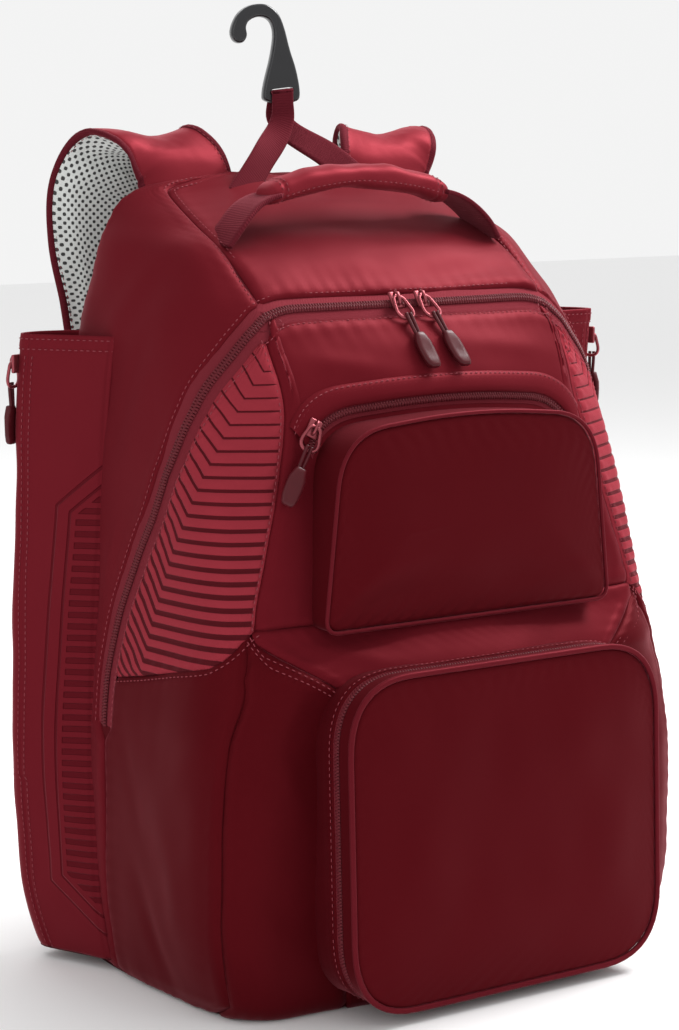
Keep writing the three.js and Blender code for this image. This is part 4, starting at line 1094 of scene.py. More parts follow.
def side_relief(p, around, station, near):
    side = np.sign(p[0, 0, 0])
    h = fold(p, (side * 138, -10, 470), (side * 172, 30, 400), 12, 1.3)
    h = h + fold(p, (side * 160, -20, 420), (side * 172, 10, 330), 9, -1.2)
    h = h + fold(p, (side * 172, 0, 300), (side * 182, 14, 220), 8, 1.2)
    h = h + fold(p, (side * 176, 0, 250), (side * 182, 10, 180), 6, -1.2)
    return h


def zip_end_relief(p, around, station, near):
    return np.full(p.shape[:2], -2.2)


behind_zip = np.linspace(station_at(138), station_at(182), 14)
zip_inner = np.interp(behind_zip, zip_in_low[:, 1], zip_in_low[:, 0])
zip_outer = np.interp(behind_zip, zip_out_low[:, 1], zip_out_low[:, 0])
for side, name in ((1, "right"), (-1, "left")):
    a = np.stack([side * (zip_inner - 0.1), behind_zip], -1)
    b = np.stack([side * (zip_outer + 0.1), behind_zip], -1)
    pair = (a, b) if side > 0 else (b, a)
    dress(
        patch(f"zip_end_{name}", *pair, spacing=3, relief=zip_end_relief, tucks="", skirt=0, seed=18),
        SATIN_SHADED,
        "body_cloth",
    )
for side, name in ((1, "right"), (-1, "left")):
    a, b = CREASE * [side, 1], lower_rear * [side, 1]
    pair = (a, b) if side > 0 else (b, a)
    dress(
        patch(f"lower_side_{name}", *pair, spacing=3, relief=lower_side_relief, seed=17),
        SATIN_SHADED,
        "body_cloth",
    )
    a, b = side_front * [side, 1], side_rear * [side, 1]
    pair = (a, b) if side > 0 else (b, a)
    dress(
        patch(f"side_cloth_{name}", *pair, spacing=3.2, relief=side_relief, seed=19, soft=1.0),
        SATIN,
        "body_cloth",
        f"side_panel_{name}",
    )

rear_left = np.array([[4.0, s] for s in np.linspace(0, TOP, 100)])
rear_right = np.array([[6.0, s] for s in np.linspace(0, TOP, 100)])
dress(
    patch("back_cloth", rear_left, rear_right, spacing=5, seed=23),
    SATIN_SHADED,
    "body_cloth",
    "back_panel",
)


def hood_relief(p, around, station, near):
    h = 1.6 * bell(near["b"][0] - 26, 16) - 1.2 * bell(near["b"][0] - 60, 16)
    h = h + fold(p, (-112, -60, 446), (-40, -70, 452), 9, 1.3)
    h = h + fold(p, (-90, -20, 476), (30, -34, 470), 12, 1.6)
    h = h + fold(p, (20, -66, 452), (110, -50, 452), 9, -1.2)
    h = h + fold(p, (-20, 10, 494), (80, 6, 492), 11, 1.2)
    h = h + fold(p, (60, -30, 472), (114, -10, 476), 10, 1.4)
    return h


hood_bottom = spaced(np.vstack([flipped(zip_out_front)[::-1], zip_out_front[1:]]), 90)
hood_top = np.stack([np.linspace(-1, 1, 90), np.full(90, TOP)], 1)
rise = np.linspace(0, 1, 64)[:, None]
dress(
    surface(
        "hood_cloth",
        lerp(hood_bottom[None, :, 0], hood_top[None, :, 0], rise),
        lerp(hood_bottom[None, :, 1], hood_top[None, :, 1], rise),
        hood_relief,
        seed=29,
        soft=1.1,
    ),
    SATIN,
    "body_cloth",
    "hood_panel",
)

base_ring = body(np.linspace(-5, 5, 121)[:-1], np.zeros(120))
base_ring = np.stack([base_ring * [f, f, 0] + [0, -30 * (1 - f), 0] for f in (1.0, 0.97, 0.5, 0.02)])
base_ring[1:, :, 2] = 0.0
base_ring[0, :, 2] = 1.5
base_uv = base_ring[..., :2]
dress(
    grid_object("base_cloth", base_ring, base_uv, wrap=True, turned=True),
    SATIN_SHADED,
    "body_cloth",
    "base_panel",
)

# Main zip.
zip_line = spaced(ZIP, 420)
tape_in, tape_out = spaced(beside(ZIP, -ZIP_HALF - 1.5), 420), spaced(beside(ZIP, ZIP_HALF + 1.5), 420)
tape_share = np.linspace(0, 1, 9)[None, :]
tape_around = lerp(tape_out[:, :1], tape_in[:, :1], tape_share)
tape_station = lerp(tape_out[:, 1:], tape_in[:, 1:], tape_share)
p, _, _, normal = body_frame(tape_around, tape_station)
tape_height = -1.3 + 0.5 * bell(np.linspace(-10.5, 10.5, 9)[None, :], 3.0)
tape_points = p + normal * tape_height[..., None]
tape_uv = np.stack([arc(p, 1), arc(p, 0)], -1)
dress(grid_object("main_zip_tape", tape_points, tape_uv), TAPE, "zip_tape", "main_zip")
p, _, _, normal = body_frame(zip_line[:, 0], zip_line[:, 1])
dress(zip_teeth("main_zip_coil", p - normal * 0.7, normal, half=2.9, pitch=2.0, high=1.7), COIL, "zip_tape")
for distance in (-ZIP_HALF - 2.6, ZIP_HALF + 2.6):
    surface_stitch(spaced(beside(ZIP, distance), 500), 0.1)


# Pockets.
def round_corners(keys, reaches, steps):
    keys = np.asarray(keys, float)
    out = []
    for i, at in enumerate(keys):
        before, after = keys[i - 1], keys[(i + 1) % len(keys)]
        s0 = min(reaches[i] / np.linalg.norm(before - at), 0.48)
        s1 = min(reaches[i] / np.linalg.norm(after - at), 0.48)
        a, b = at + (before - at) * s0, at + (after - at) * s1
        t = np.linspace(0, 1, steps + 1)[:, None]
        out.append((1 - t) ** 2 * a + 2 * t * (1 - t) * at + t * t * b)
    return np.vstack(out)


class Pocket:
    def __init__(self, bottom_half, top_half, bottom, top, crown, corner, foot, face):
        self.bottom_half, self.top_half = bottom_half, top_half
        self.bottom, self.top, self.crown = bottom, top, crown
        self.corner, self.foot, self.face = corner, foot, face

    def outline(self, inset, count=260):
        keys = [
            (-self.bottom_half + inset, self.bottom + inset),
            (self.bottom_half - inset, self.bottom + inset),
            (self.top_half - inset, self.top - inset),
            (0, self.top + self.crown - inset),
            (-self.top_half + inset, self.top - inset),
        ]
        corner = max(self.corner - 0.6 * inset, 8)
        foot = max(self.foot - 0.6 * inset, 6)
        line = round_corners(keys, [foot, foot, corner, 50, corner], 10)
        return resample(line, count, closed=True)

    def ring(self, inset, behind, count=260):
        line = self.outline(inset, count)
        return np.stack([line[:, 0], self.face(line[:, 1]) + behind, line[:, 1]], 1)


PIPING = 2.2
LOWER_TOP = 0.422 * HEIGHT
lower_low = front_y(0, 0.1 * HEIGHT) - 36
lower_high = front_y(0, 0.38 * HEIGHT) - 22
LOWER = Pocket(
    121, 121, 5 + 1.8 * PIPING, LOWER_TOP, 0, 46, 46, lambda z: lerp(lower_low, lower_high, z / LOWER_TOP)
)
upper_face = front_y(0, 0.468 * HEIGHT) - 6
UPPER = Pocket(112, 99, 0.468 * HEIGHT, 0.705 * HEIGHT, 9, 34, 10, lambda z: upper_face + 0 * z)


def pocket_front(name, pocket, edge, full, relief, seed, rolled=5.0):
    """Rounded edge, then a pillowed face closed at its middle."""
    rows = [(0.0, edge), (0.0, 0.6 * edge), (0.1, rolled)]
    for turn in np.linspace(0.2, 1.5, 6):
        rows.append((rolled * (1 - math.cos(turn)), rolled * (1 - math.sin(turn))))
    limit = min(pocket.top_half, (pocket.top - pocket.bottom) / 2) - 3
    rows += [(i, 0.0) for i in np.arange(rolled + 1.5, limit, 2.4)]
    rings = []
    for inset, behind in rows:
        ring = pocket.ring(inset, behind)
        pillow = full * (1 - (1 - np.clip((inset - rolled) / 62, 0, 1)) ** 2)
        ring[:, 1] -= pillow
        rings.append(ring)
    rings = np.array(rings)
    inset = np.array([r[0] for r in rows])[:, None]
    around = arc(rings, 1)
    height = relief(rings) + 0.6 * waves(rings, 70, seed) * np.clip(inset / 30, 0, 1)
    height = height + pucker(inset + 0 * around, around, seed, height=0.4, pitch=12, reach=11) * (inset > 0.5)
    rings[..., 1] -= height
    middle = rings[-1].mean(0)
    count = rings.shape[1]
    points = np.vstack([rings.reshape(-1, 3), middle[None]])
    faces = grid_faces(len(rows), count, 0, wrap=True)
    last = (len(rows) - 1) * count
    faces += [[last + j, last + (j + 1) % count, len(points) - 1] for j in range(count)]
    return mesh_object(name, points, faces, points[:, [0, 2]])


def lower_relief(p):
    h = fold(p, (-80, -190, 196), (60, -190, 190), 10, -0.9)
    h = h + fold(p, (-100, -190, 40), (-60, -190, 160), 14, 0.8)
    return h


def upper_relief(p):
    h = fold(p, (-104, -150, 262), (-30, -150, 282), 8, 1.1)
    h = h + fold(p, (-108, -150, 250), (0, -150, 262), 7, -1.2)
    h = h + fold(p, (0, -150, 258), (104, -150, 268), 8, -1.0)
    h = h + fold(p, (30, -150, 272), (108, -150, 256), 7, 1.0)
    h = h + fold(p, (-96, -150, 335), (-88, -150, 275), 7, -0.8)
    return h


dress(
    pocket_front("lower_pocket_cloth", LOWER, 13, 7, lower_relief, 31),
    SATIN_SHADED,
    "panel_cloth",
    "lower_pocket_face",
)
dress(
    pocket_front("upper_pocket_cloth", UPPER, 42, 6, upper_relief, 37),
    SATIN_SHADED,
    "panel_cloth",
    "upper_pocket",
)


def piping(name, pocket, radius):
    line = pocket.ring(-0.1 * PIPING, 0.4 * PIPING, 420)
    return tube_object(name, line, radius, 10, closed=True)


dress(piping("lower_pocket_cord", LOWER, 1.9), SATIN_PIPING, "webbing", "lower_pocket_piping")
dress(piping("upper_pocket_cord", UPPER, 1.3), SATIN_PIPING, "webbing", "upper_pocket_piping")


def pocket_wall(name, pocket, inset, start, end, rows, relief=0.0, seed=41):
    """A band of the pocket's side wall from start to end behind its face."""
    behind = np.linspace(start, end, rows)
    rings = np.array([pocket.ring(inset, b, 320) for b in behind])
    line = pocket.outline(inset, 320)
    tangent = np.roll(line, -1, 0) - np.roll(line, 1, 0)
    out = np.stack([tangent[:, 1], 0 * tangent[:, 0], -tangent[:, 0]], 1)
    out /= np.linalg.norm(out, axis=1, keepdims=True)
    height = relief * waves(rings, 34, seed)
    height = height + tuck((behind - start)[:, None], 1.0, 1.6)
    rings = rings + out[None] * height[..., None]
    rings = np.concatenate([rings, rings[:, :1]], 1)
    along = arc(rings, 1)
    uv = np.stack([along, np.broadcast_to(behind[:, None], along.shape)], -1)
    return grid_object(name, rings, uv, turned=True), out


zip_band, out = pocket_wall("lower_pocket_tape", LOWER, 1.0, 13.0, 20.6, 6)
dress(zip_band, TAPE, "zip_tape", "lower_pocket_zip")
ring = LOWER.ring(1.0, 16.6, 320)
ring = np.vstack([ring, ring[:1]])
dress(
    zip_teeth(
        "lower_pocket_coil",
        ring + np.vstack([out, out[:1]]) * 0.1,
        np.vstack([out, out[:1]]),
        half=2.2,
        pitch=2.0,
        high=1.4,
    ),
    COIL,
    "zip_tape",
)
gusset_wall, out = pocket_wall("lower_pocket_side", LOWER, 0.0, 20.3, 58.0, 14, relief=0.5)
dress(gusset_wall, SATIN_SHADED, "panel_cloth", "lower_pocket_gusset")
ring = LOWER.ring(0.0, 22.8, 320)
stitch(ring + out * 0.2, out)


# Zip over the upper pocket and the folded flap that covers it.
def lid_point(x, z, height=0.0):
    station = station_at(z)
    around = around_at_x(x, station)
    p, _, _, normal = body_frame(around, station)
    return p + normal * height, normal


flap_low = UPPER.outline(-2.6, 400)
flap_low = flap_low[flap_low[:, 1] > UPPER.top - 18]
flap_low = flap_low[np.argsort(flap_low[:, 0])]
rows = []
for share, height in ((0.0, 0.6), (0.25, 0.9), (0.5, 1.3), (0.75, 1.5), (1.0, 1.2)):
    x = flap_low[:, 0] * lerp(1.0, 1.06, share)
    z = flap_low[:, 1] + 12 * share
    rows.append(lid_point(x, z, height)[0])
strip = np.array(rows)
strip_uv = np.stack([arc(strip, 1), arc(strip, 0)], -1)
dress(grid_object("upper_zip_tape", strip, strip_uv), TAPE, "zip_tape", "upper_pocket_zip")
x, z = flap_low[:, 0] * 1.02, flap_low[:, 1] + 4.5
p, normal = lid_point(x, z, 1.0)
dress(zip_teeth("upper_zip_coil", p, normal, half=2.3, pitch=2.0, high=1.5), COIL, "zip_tape")
rows = []
for share, height in ((0.0, 2.6), (0.06, 3.2), (0.3, 3.4), (0.7, 3.0), (0.94, 2.0), (1.0, 0.6)):
    x = flap_low[:, 0] * lerp(1.035, 1.12, share)
    z = flap_low[:, 1] + lerp(7.0, 20.0, share)
    rows.append(lid_point(x, z, height)[0])
flap = np.array(rows)
dress(grid_object("upper_zip_flap", flap, np.stack([arc(flap, 1), arc(flap, 0)], -1)), SATIN, "panel_cloth")
for rise_z in (15.0, 18.0):
    p, normal = lid_point(flap_low[:, 0] * 1.1, flap_low[:, 1] + rise_z, 2.4)
    stitch(p, normal)

# Bat sleeves.
SLEEVES = {
    -1: np.array(
        [
            [0.0, 0.31, 68, 60, 0.5],
            [0.12, 0.3, 66, 66, 0.8],
            [0.42, 0.27, 50, 58, 0.8],
            [0.65, 0.27, 52, 62, 0.9],
            [1.0, 0.28, 54, 68, 1.0],
        ]
    ),
    1: np.array(
        [
            [0.0, 0.31, 68, 60, 0.5],
            [0.12, 0.3, 62, 66, 0.8],
            [0.42, 0.27, 40, 66, 0.8],
            [0.7, 0.27, 16, 74, 0.9],
            [1.0, 0.28, 3, 80, 1.0],
        ]
    ),
}
SLEEVE_LOW, SLEEVE_HIGH = 0.016 * HEIGHT, 0.806 * HEIGHT


def sleeve_line(side, share):
    """The sleeve's outline at one share of its height, from the front seam round to the rear."""
    table = SLEEVES[side]
    row = hermite(table[:, 0], table, np.array([share]), monotone_slopes(table[:, 0], table))[0]
    z = lerp(SLEEVE_LOW, SLEEVE_HIGH, share)
    station = station_at(z)
    start_y = BACK_Y - row[1] * DEPTH
    start = body(around_at_y(start_y, station), station)[0]
    turn = math.radians(row[2])
    edge = start + np.array([math.cos(turn), math.sin(turn), 0]) * row[3]
    corner = hermite(STATION, ROW_VALUES, np.array([station]), ROW_SLOPES)[0, 1:].reshape(6, 2)[4]
    end = np.array([corner[0], corner[1] - 4, z])
    back = np.array([lerp(end[0], edge[0], 0.62), max(end[1], edge[1]) + 10 * row[4], z])
    keys = np.array(
        [[start[0] - 1, start[1]], start[:2], edge[:2], back[:2], end[:2], [end[0] - 4, end[1] - 4]]
    )
    line = round_corners(np.vstack([keys, [[0.0, 40.0]]]), [1, 12, 12, 26, 10, 1, 1], 8)[:-9]
    line = np.hstack([line, np.full((len(line), 1), z)])
    front = line[: 8 * 2 + 2 + 9]
    return line, front


SLEEVE_TOPS = {}


def sleeve_grid(side):
    shares = np.linspace(0, 1, 250)
    rows = []
    for share in shares:
        line, _ = sleeve_line(side, share)
        edge = int(np.argmax(line[:, 0]))
        split = resample(line[: edge + 1], 64), resample(line[edge:], 48)[1:]
        rows.append(np.vstack(split))
    grid = np.array(rows)
    grid[..., 0] *= side
    return grid


def ladder_pattern(across, up):
    """How far a place lies outside the embossed frame, and its height."""
    edge = lerp(40.0, 30.0, up / (SLEEVE_HIGH - SLEEVE_LOW))
    slanted = 0.76 * (up - 296 - 0.85 * (edge - across))
    foot = 0.76 * (30 - up + 0.85 * (across - 0.4 * edge))
    return np.stack([np.maximum(np.maximum(across - edge, slanted), foot), up], -1)


for side, name in ((1, "right"), (-1, "left")):
    grid = sleeve_grid(side)
    normal = grid_normals(grid) * (1 if side > 0 else -1)
    across, up = arc(grid, 1), arc(grid, 0)
    hem = 1 / (1 + np.exp(np.clip((np.abs(up[-1:] - up - 4) - 5.5) / 0.5, -30, 30)))
    height = 0.9 * hem + 0.9 * waves(grid, 80, 43 + side) + 0.2 * waves(grid, 24, 44)
    height = height - 0.8 * bell(across - 3, 1.6)
    framed = ladder_pattern(across, up)
    height = height + 0.9 / (1 + np.exp(np.clip(framed[..., 0] / 0.5, -30, 30)))
    height = height - 0.8 * bell(across - across[:, 63:64] + 7, 1.0)
    shown = grid + normal * height[..., None]
    uv = np.stack([across, up], -1)
    made = grid_object(f"sleeve_cloth_{name}", shown, uv, turned=side < 0)
    add_uv(made, "pattern", framed)
    thick = made.modifiers.new("thickness", "SOLIDIFY")
    thick.thickness = 0.002
    thick.offset = -1
    dress(made, SATIN_SLEEVE, "body_cloth", f"bat_sleeve_{name}")
    SLEEVE_TOPS[side] = grid[int(0.95 * len(grid)), 63], grid[int(0.95 * len(grid)), 63] - grid[
        int(0.95 * len(grid)), 50
    ]
    for drop in (9.5, 2.5):
        row = int(np.argmin(np.abs(up[-1:, 30] - up[:, 30] - drop)))
        stitch(shown[row], normal[row], lift=0.3)
    for offset in (5.0, 9.5):
        column = int(np.argmin(np.abs(across[125] - across[125, 63] + offset)))
        stitch(shown[:-8, column], normal[:-8, column], lift=0.2)
    floor = grid[0]
    middle = floor.mean(0)
    halfway, inner = lerp(floor, middle, 0.5), lerp(floor, middle, 0.98)
    cap = np.stack([floor + [0, 0, -0.5], halfway + [0, 0, -1.0], inner + [0, 0, -1.0]])
    dress(grid_object(f"sleeve_floor_{name}", cap, cap[..., :2], turned=side > 0), SATIN_SHADED, "body_cloth")


# Bands: webbing and padded straps.
def sweep(name, stations, profile, count, closed_ends=True):
    """A flat profile swept through stations of a centre, a sideways direction and a width factor."""
    path = smooth_path(stations, count)
    centre, sideways, share = path[:, :3], path[:, 3:6], path[:, 6]
    along = np.gradient(centre, axis=0)
    along /= np.linalg.norm(along, axis=1, keepdims=True)
    sideways = sideways - along * (sideways * along).sum(1, keepdims=True)
    sideways /= np.linalg.norm(sideways, axis=1, keepdims=True)
    out = np.cross(along, sideways)
    profile = np.asarray(profile, float)
    rings = (
        centre[:, None]
        + sideways[:, None] * (profile[None, :, 0] * share[:, None])[..., None]
        + out[:, None] * profile[None, :, 1][..., None]
    )
    faces = grid_faces(count, len(profile), 0, wrap=True, turned=True)
    if closed_ends:
        faces += [
            list(range(len(profile))), list(range((count - 1) * len(profile), count * len(profile)))[::-1]
        ]
    length = arc(centre[:, None], 0)
    uv = np.stack(np.broadcast_arrays(profile[None, :, 0], length), -1)
    return mesh_object(name, rings, faces, uv), centre, sideways, out


def flat_profile(wide, thick, corner=0.6, columns=10):
    """A thin band's outline with softened edges."""
    w, t = wide / 2, thick / 2
    top = [(x, t) for x in np.linspace(w - corner, corner - w, columns)]
    low = [(x, -t) for x in np.linspace(corner - w, w - corner, columns)]
    return [(w, t - corner), *top, (-w, t - corner), (-w, corner - t), *low, (w, corner - t)]


GRIP_HALF, GRIP_THICK, GRIP_WIDE, GRIP_RISE = 72.0, 16.0, 26.0, 12.0
handle_y = BACK_Y - 0.42 * DEPTH


def hood_z(x, y):
    z = np.linspace(0.8 * HEIGHT, HEIGHT, 300)
    station = station_at(z)
    line = np.array([body(around_at_x(x, s), s)[0, 1] for s in station])
    return float(np.interp(y, line, z))


handle_z = hood_z(0, handle_y) + 24 + GRIP_THICK / 2
turns = np.linspace(0, 2 * math.pi, 40, endpoint=False)
share = np.linspace(0, 1, 110)
size = np.interp(share, [0, 0.02, 0.06, 0.2, 0.8, 0.94, 0.98, 1], [0.55, 0.85, 0.97, 1, 1, 0.97, 0.85, 0.55])
rings = []
for s, k in zip(share, size):
    x = lerp(-GRIP_HALF, GRIP_HALF, s)
    z = handle_z - GRIP_RISE * (2 * s - 1) ** 2
    c, d = np.cos(turns), np.sin(turns)
    up = 0.5 * GRIP_THICK * k * np.sign(d) * np.abs(d) ** 0.85
    out = 0.5 * GRIP_WIDE * k * np.sign(c) * np.abs(c) ** 0.85
    rings.append(np.stack([x + 0 * c, handle_y + out, z + up], 1))
rings = np.array(rings)
centre = rings.mean(1, keepdims=True)
way = (rings - centre) / np.linalg.norm(rings - centre, axis=2, keepdims=True)
height = 0.7 * waves(rings, 26, 53) - 1.1 * bell(rings[..., 0:1] * 0 + np.abs(rings[..., :1]) - 62, 1.6)[
    ..., 0
]
rings = rings + way * height[..., None]
faces = grid_faces(len(rings), len(turns), 0, wrap=True, turned=False)
faces += [list(range(len(turns)))[::-1], list(range((len(rings) - 1) * len(turns), len(rings) * len(turns)))]
uv = np.stack(np.broadcast_arrays(turns[None, :] * 11, arc(rings, 0)[:, :1]), -1)
dress(mesh_object("grip_cloth", rings, faces, uv), SATIN_LIT, "strap_cloth", "handle_grip", padded=0.8)
for x in (-60.5, -64, 60.5, 64):
    ring = rings[int(np.argmin(np.abs(rings[:, 0, 0] - x)))]
    stitch(np.vstack([ring, ring[:1]]), np.vstack([way[0], way[0][:1]]))
seam = rings[8:-8, 22]
stitch(seam, way[8:-8, 22])

for side, name in ((1, "right"), (-1, "left")):
    z0 = handle_z - GRIP_RISE
    foot_x = 107.0
    foot_z = hood_z(foot_x, handle_y - 3)
    stations = [
        [side * (GRIP_HALF - 6), handle_y, z0 + 1, 0, 1, 0, 1],
        [side * (GRIP_HALF + 2), handle_y, z0 - 1, 0, 1, 0, 1],
        [side * lerp(GRIP_HALF, foot_x, 0.35), handle_y - 1, lerp(z0, foot_z - 4, 0.2), 0, 1, 0, 1],
        [side * lerp(GRIP_HALF, foot_x, 0.75), handle_y - 4, lerp(z0, foot_z - 4, 0.62), 0, 1, 0, 1],
        [side * foot_x, handle_y - 3, foot_z - 4, 0, 1, 0, 1],
    ]
    made, *_ = sweep(f"handle_band_{name}", stations, flat_profile(30, 3), 40)
    dress(made, WEBBING, "webbing", f"handle_webbing_{name}")

# Fence hook.
HOOK_HEIGHT, HOOK_THICK, HOOK_TURN = 66.0, 9.0, math.radians(-20)
HOOK_OUTLINE = [
    (0.19, 0.0), (0.2, 0.14), (0.155, 0.36), (0.09, 0.54), (0.04, 0.75), (-0.02, 0.9), (-0.12, 0.985),
    (-0.23, 1.0), (-0.35, 0.975), (-0.45, 0.9), (-0.51, 0.78), (-0.525, 0.68), (-0.475, 0.6), (-0.39, 0.6),
    (-0.345, 0.68), (-0.37, 0.76), (-0.335, 0.83), (-0.235, 0.87), (-0.14, 0.85), (-0.09, 0.79),
    (-0.07, 0.68), (-0.105, 0.46), (-0.16, 0.26), (-0.19, 0.12), (-0.19, 0.0),
]
HOOK_SLOT = [(-0.13, 0.08), (0.13, 0.11), (0.125, 0.17), (-0.12, 0.14)]
hook_base = np.array([0, BACK_Y - 0.07 * DEPTH, HEIGHT + 46])


def hook_place(flat, depth):
    flat = np.asarray(flat, float)
    across, up = flat[..., 0] * HOOK_HEIGHT, flat[..., 1] * HOOK_HEIGHT
    cos, sin = math.cos(HOOK_TURN), math.sin(HOOK_TURN)
    return hook_base + np.stack([across * cos - depth * sin, across * sin + depth * cos, up], -1)


def closed_inset(line, distance):
    before, after = np.roll(line, 1, 0), np.roll(line, -1, 0)
    way = after - before
    normal = np.stack([-way[:, 1], way[:, 0]], 1)
    return line + normal / (np.linalg.norm(normal, axis=1, keepdims=True) + 1e-9) * distance


def hook_object(name):
    outer = resample(round_corners(HOOK_OUTLINE, [20] * len(HOOK_OUTLINE), 5), 150, closed=True)
    slot = resample(round_corners(HOOK_SLOT, [0.03] * 4, 3), 24, closed=True)
    turned = np.sum((np.roll(outer[:, 0], -1) - outer[:, 0]) * (np.roll(outer[:, 1], -1) + outer[:, 1])) > 0
    sign = -1 if turned else 1
    layers = [
        (-4.5, 1.7), (-4.1, 0.8), (-3.0, 0.15), (-1.4, 0.0), (1.4, 0.0), (3.0, 0.15), (4.1, 0.8), (4.5, 1.7)
    ]
    mesh = bmesh.new()
    loops = []
    for line, way in ((outer, sign), (slot, sign)):
        rings = []
        for depth, inset in layers:
            flat = closed_inset(line, way * inset / HOOK_HEIGHT if line is outer else 0.0)
            rings.append([mesh.verts.new(p * MM) for p in hook_place(flat, depth)])
        for a, b in zip(rings, rings[1:]):
            for j in range(len(a)):
                k = (j + 1) % len(a)
                mesh.faces.new((a[j], a[k], b[k], b[j]))
        loops.append(rings)
    for end in (0, -1):
        edges = []
        for rings in loops:
            ring = rings[end]
            for j in range(len(ring)):
                edges.append(mesh.edges.get((ring[j], ring[(j + 1) % len(ring)])))
        bmesh.ops.triangle_fill(mesh, edges=edges, use_beauty=True)
    bmesh.ops.recalc_face_normals(mesh, faces=mesh.faces)
    made = bpy.data.meshes.new(name)
    mesh.to_mesh(made)
    mesh.free()
    for polygon in made.polygons:
        polygon.use_smooth = len(polygon.vertices) == 4
    obj = bpy.data.objects.new(name, made)
    bpy.context.scene.collection.objects.link(obj)
    return obj


dress(hook_object("hook_moulding"), BLACK, "black_plastic", "fence_hook")
leg_out = HOOK_THICK / 2 + 0.75 + 1.2
cos, sin = math.cos(HOOK_TURN), math.sin(HOOK_TURN)
foot_z = hood_z(56, BACK_Y - 0.205 * DEPTH)
for side, depth, name in ((-1, -leg_out, "front"), (1, leg_out, "rear")):
    top = hook_place((0, 0.124), depth)
    low = top - [0, 0, 0.27 * HOOK_HEIGHT]
    end = np.array([side * 56, BACK_Y - 0.205 * DEPTH, foot_z - 6])
    folded = 0.72
    stations = [
        [*top, cos, sin, 0, folded],
        [*(top - [0, 0, 6]), cos, sin, 0, folded],
        [*low, cos, sin, 0, folded + 0.06],
        [
            lerp(low[0], end[0], 0.5),
            lerp(low[1], end[1], 0.6),
            lerp(low[2], end[2], 0.5),
            1,
            0.1,
            side * 0.75,
            1,
        ],
        [*end, 1, 0, side * 0.75, 1],
    ]
    made, *_ = sweep(f"hook_band_{name}", stations, flat_profile(20, 2.4), 60)
    dress(made, WEBBING, "webbing", *(["hook_webbing"] if side < 0 else []))
a, b = hook_place((0, 0.124), -leg_out - 1.2), hook_place((0, 0.124), leg_out + 1.2)
stations = [[*lerp(a, b, t), cos, sin, 0.115, 0.72] for t in np.linspace(0, 1, 4)]
made, *_ = sweep("hook_band_through", stations, flat_profile(20, 2.4), 10)
dress(made, WEBBING, "webbing")

# Shoulder straps.
STRAP_PATH = np.array(
    [
        [0.42, -27, 0.98, 0],
        [0.45, -20, 1.018, 0.06],
        [0.5, -8, 1.038, 0.16],
        [0.56, 12, 1.03, 0.24],
        [0.6, 27, 0.985, 0.26],
        [0.6, 31, 0.92, 0.2],
        [0.57, 29, 0.84, 0.1],
        [0.54, 25, 0.7, 0.04],
        [0.53, 21, 0.52, 0],
        [0.56, 18, 0.4, 0],
    ]
)
STRAP_WIDE, STRAP_THICK = 72.0, 13.0


def strap_profile(wide, thick, columns=26):
    """A padded strap's outline: full in the middle, thin and bound at its edges."""
    w, t = wide / 2 - 2.2, thick / 2
    x = np.linspace(w, -w, columns)
    rise = 1.7 + (t - 1.7) * (1 - np.abs(x / w) ** 3.2)
    return [*zip(x, rise), *zip(x[::-1], -rise)]


for side, name in ((1, "right"), (-1, "left")):
    stations = [
        [side * r[0] * HALF_WIDTH, BACK_Y + r[1], r[2] * HEIGHT, side, 1.2 * r[3], 0, 1] for r in STRAP_PATH
    ]
    made, centre, sideways, out = sweep(
        f"strap_pad_{name}", stations, strap_profile(STRAP_WIDE, STRAP_THICK), 170
    )
    half = 26
    share = np.concatenate([np.linspace(1, -1, half), np.linspace(-1, 1, half)])
    plump(
        made,
        4,
        np.tile(1 - np.abs(share) ** 6, 170) * np.repeat(
            1 - bell(np.arange(170), 8) - bell(np.arange(170) - 169, 8), 52
        ),
    )
    made.data.materials.append(SATIN_LIT)
    made.data.materials.append(MESH_LIGHT)
    for polygon in made.data.polygons:
        k = polygon.index % 52
        if polygon.index < 169 * 52:
            polygon.material_index = int((k < half) == (side > 0))
    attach(made, "root")
    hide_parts(f"shoulder_strap_{name}")
    for edge in (-1, 1):
        line = centre + sideways * edge * (STRAP_WIDE / 2 - 3.0)
        profile = [
            (3.2 * math.cos(a), 2.5 * math.sin(a)) for a in np.linspace(0, 2 * math.pi, 12, endpoint=False)
        ]
        across, up = np.array(profile)[None, :, :1], np.array(profile)[None, :, 1:]
        rings = line[:, None] + sideways[:, None] * across + out[:, None] * up
        faces = grid_faces(len(line), 12, 0, wrap=True, turned=True)
        faces += [list(range(12)), list(range((len(line) - 1) * 12, len(line) * 12))[::-1]]
        uv = np.stack(np.broadcast_arrays(np.arange(12)[None] * 1.5, arc(rings, 0)[:, :1]), -1)
        dress(
            mesh_object(f"strap_binding_{name}_{'in' if edge * side < 0 else 'out'}", rings, faces, uv),
            WEBBING,
            "strap_cloth",
        )
        stitch(line - sideways * edge * 2.0 + out * 2.4, out)
        stitch(line - sideways * edge * 2.0 - out * 2.4, -out)

    top = np.array([side * 0.56 * HALF_WIDTH, BACK_Y + 18, 0.4 * HEIGHT])
    foot = 0.07 * HEIGHT
    back = BACK_Y
    stations = [
        [*(top + [0, 0, 6]), side, 0, 0, 1],
        [*top, side, 0, 0, 1],
        [top[0] + side * 6, lerp(top[1], BACK_Y, 0.35), 0.25 * HEIGHT, side, 0, 0, 1],
        [top[0] + side * 12, back + 4, foot + 20, side, 0, 0, 1],
        [top[0] + side * 13, back - 4, foot - 2, side, 0, 0, 1],
    ]
    made, *_ = sweep(f"strap_band_{name}", stations, flat_profile(25, 2.4), 80)
    dress(made, WEBBING, "webbing", f"strap_webbing_{name}")

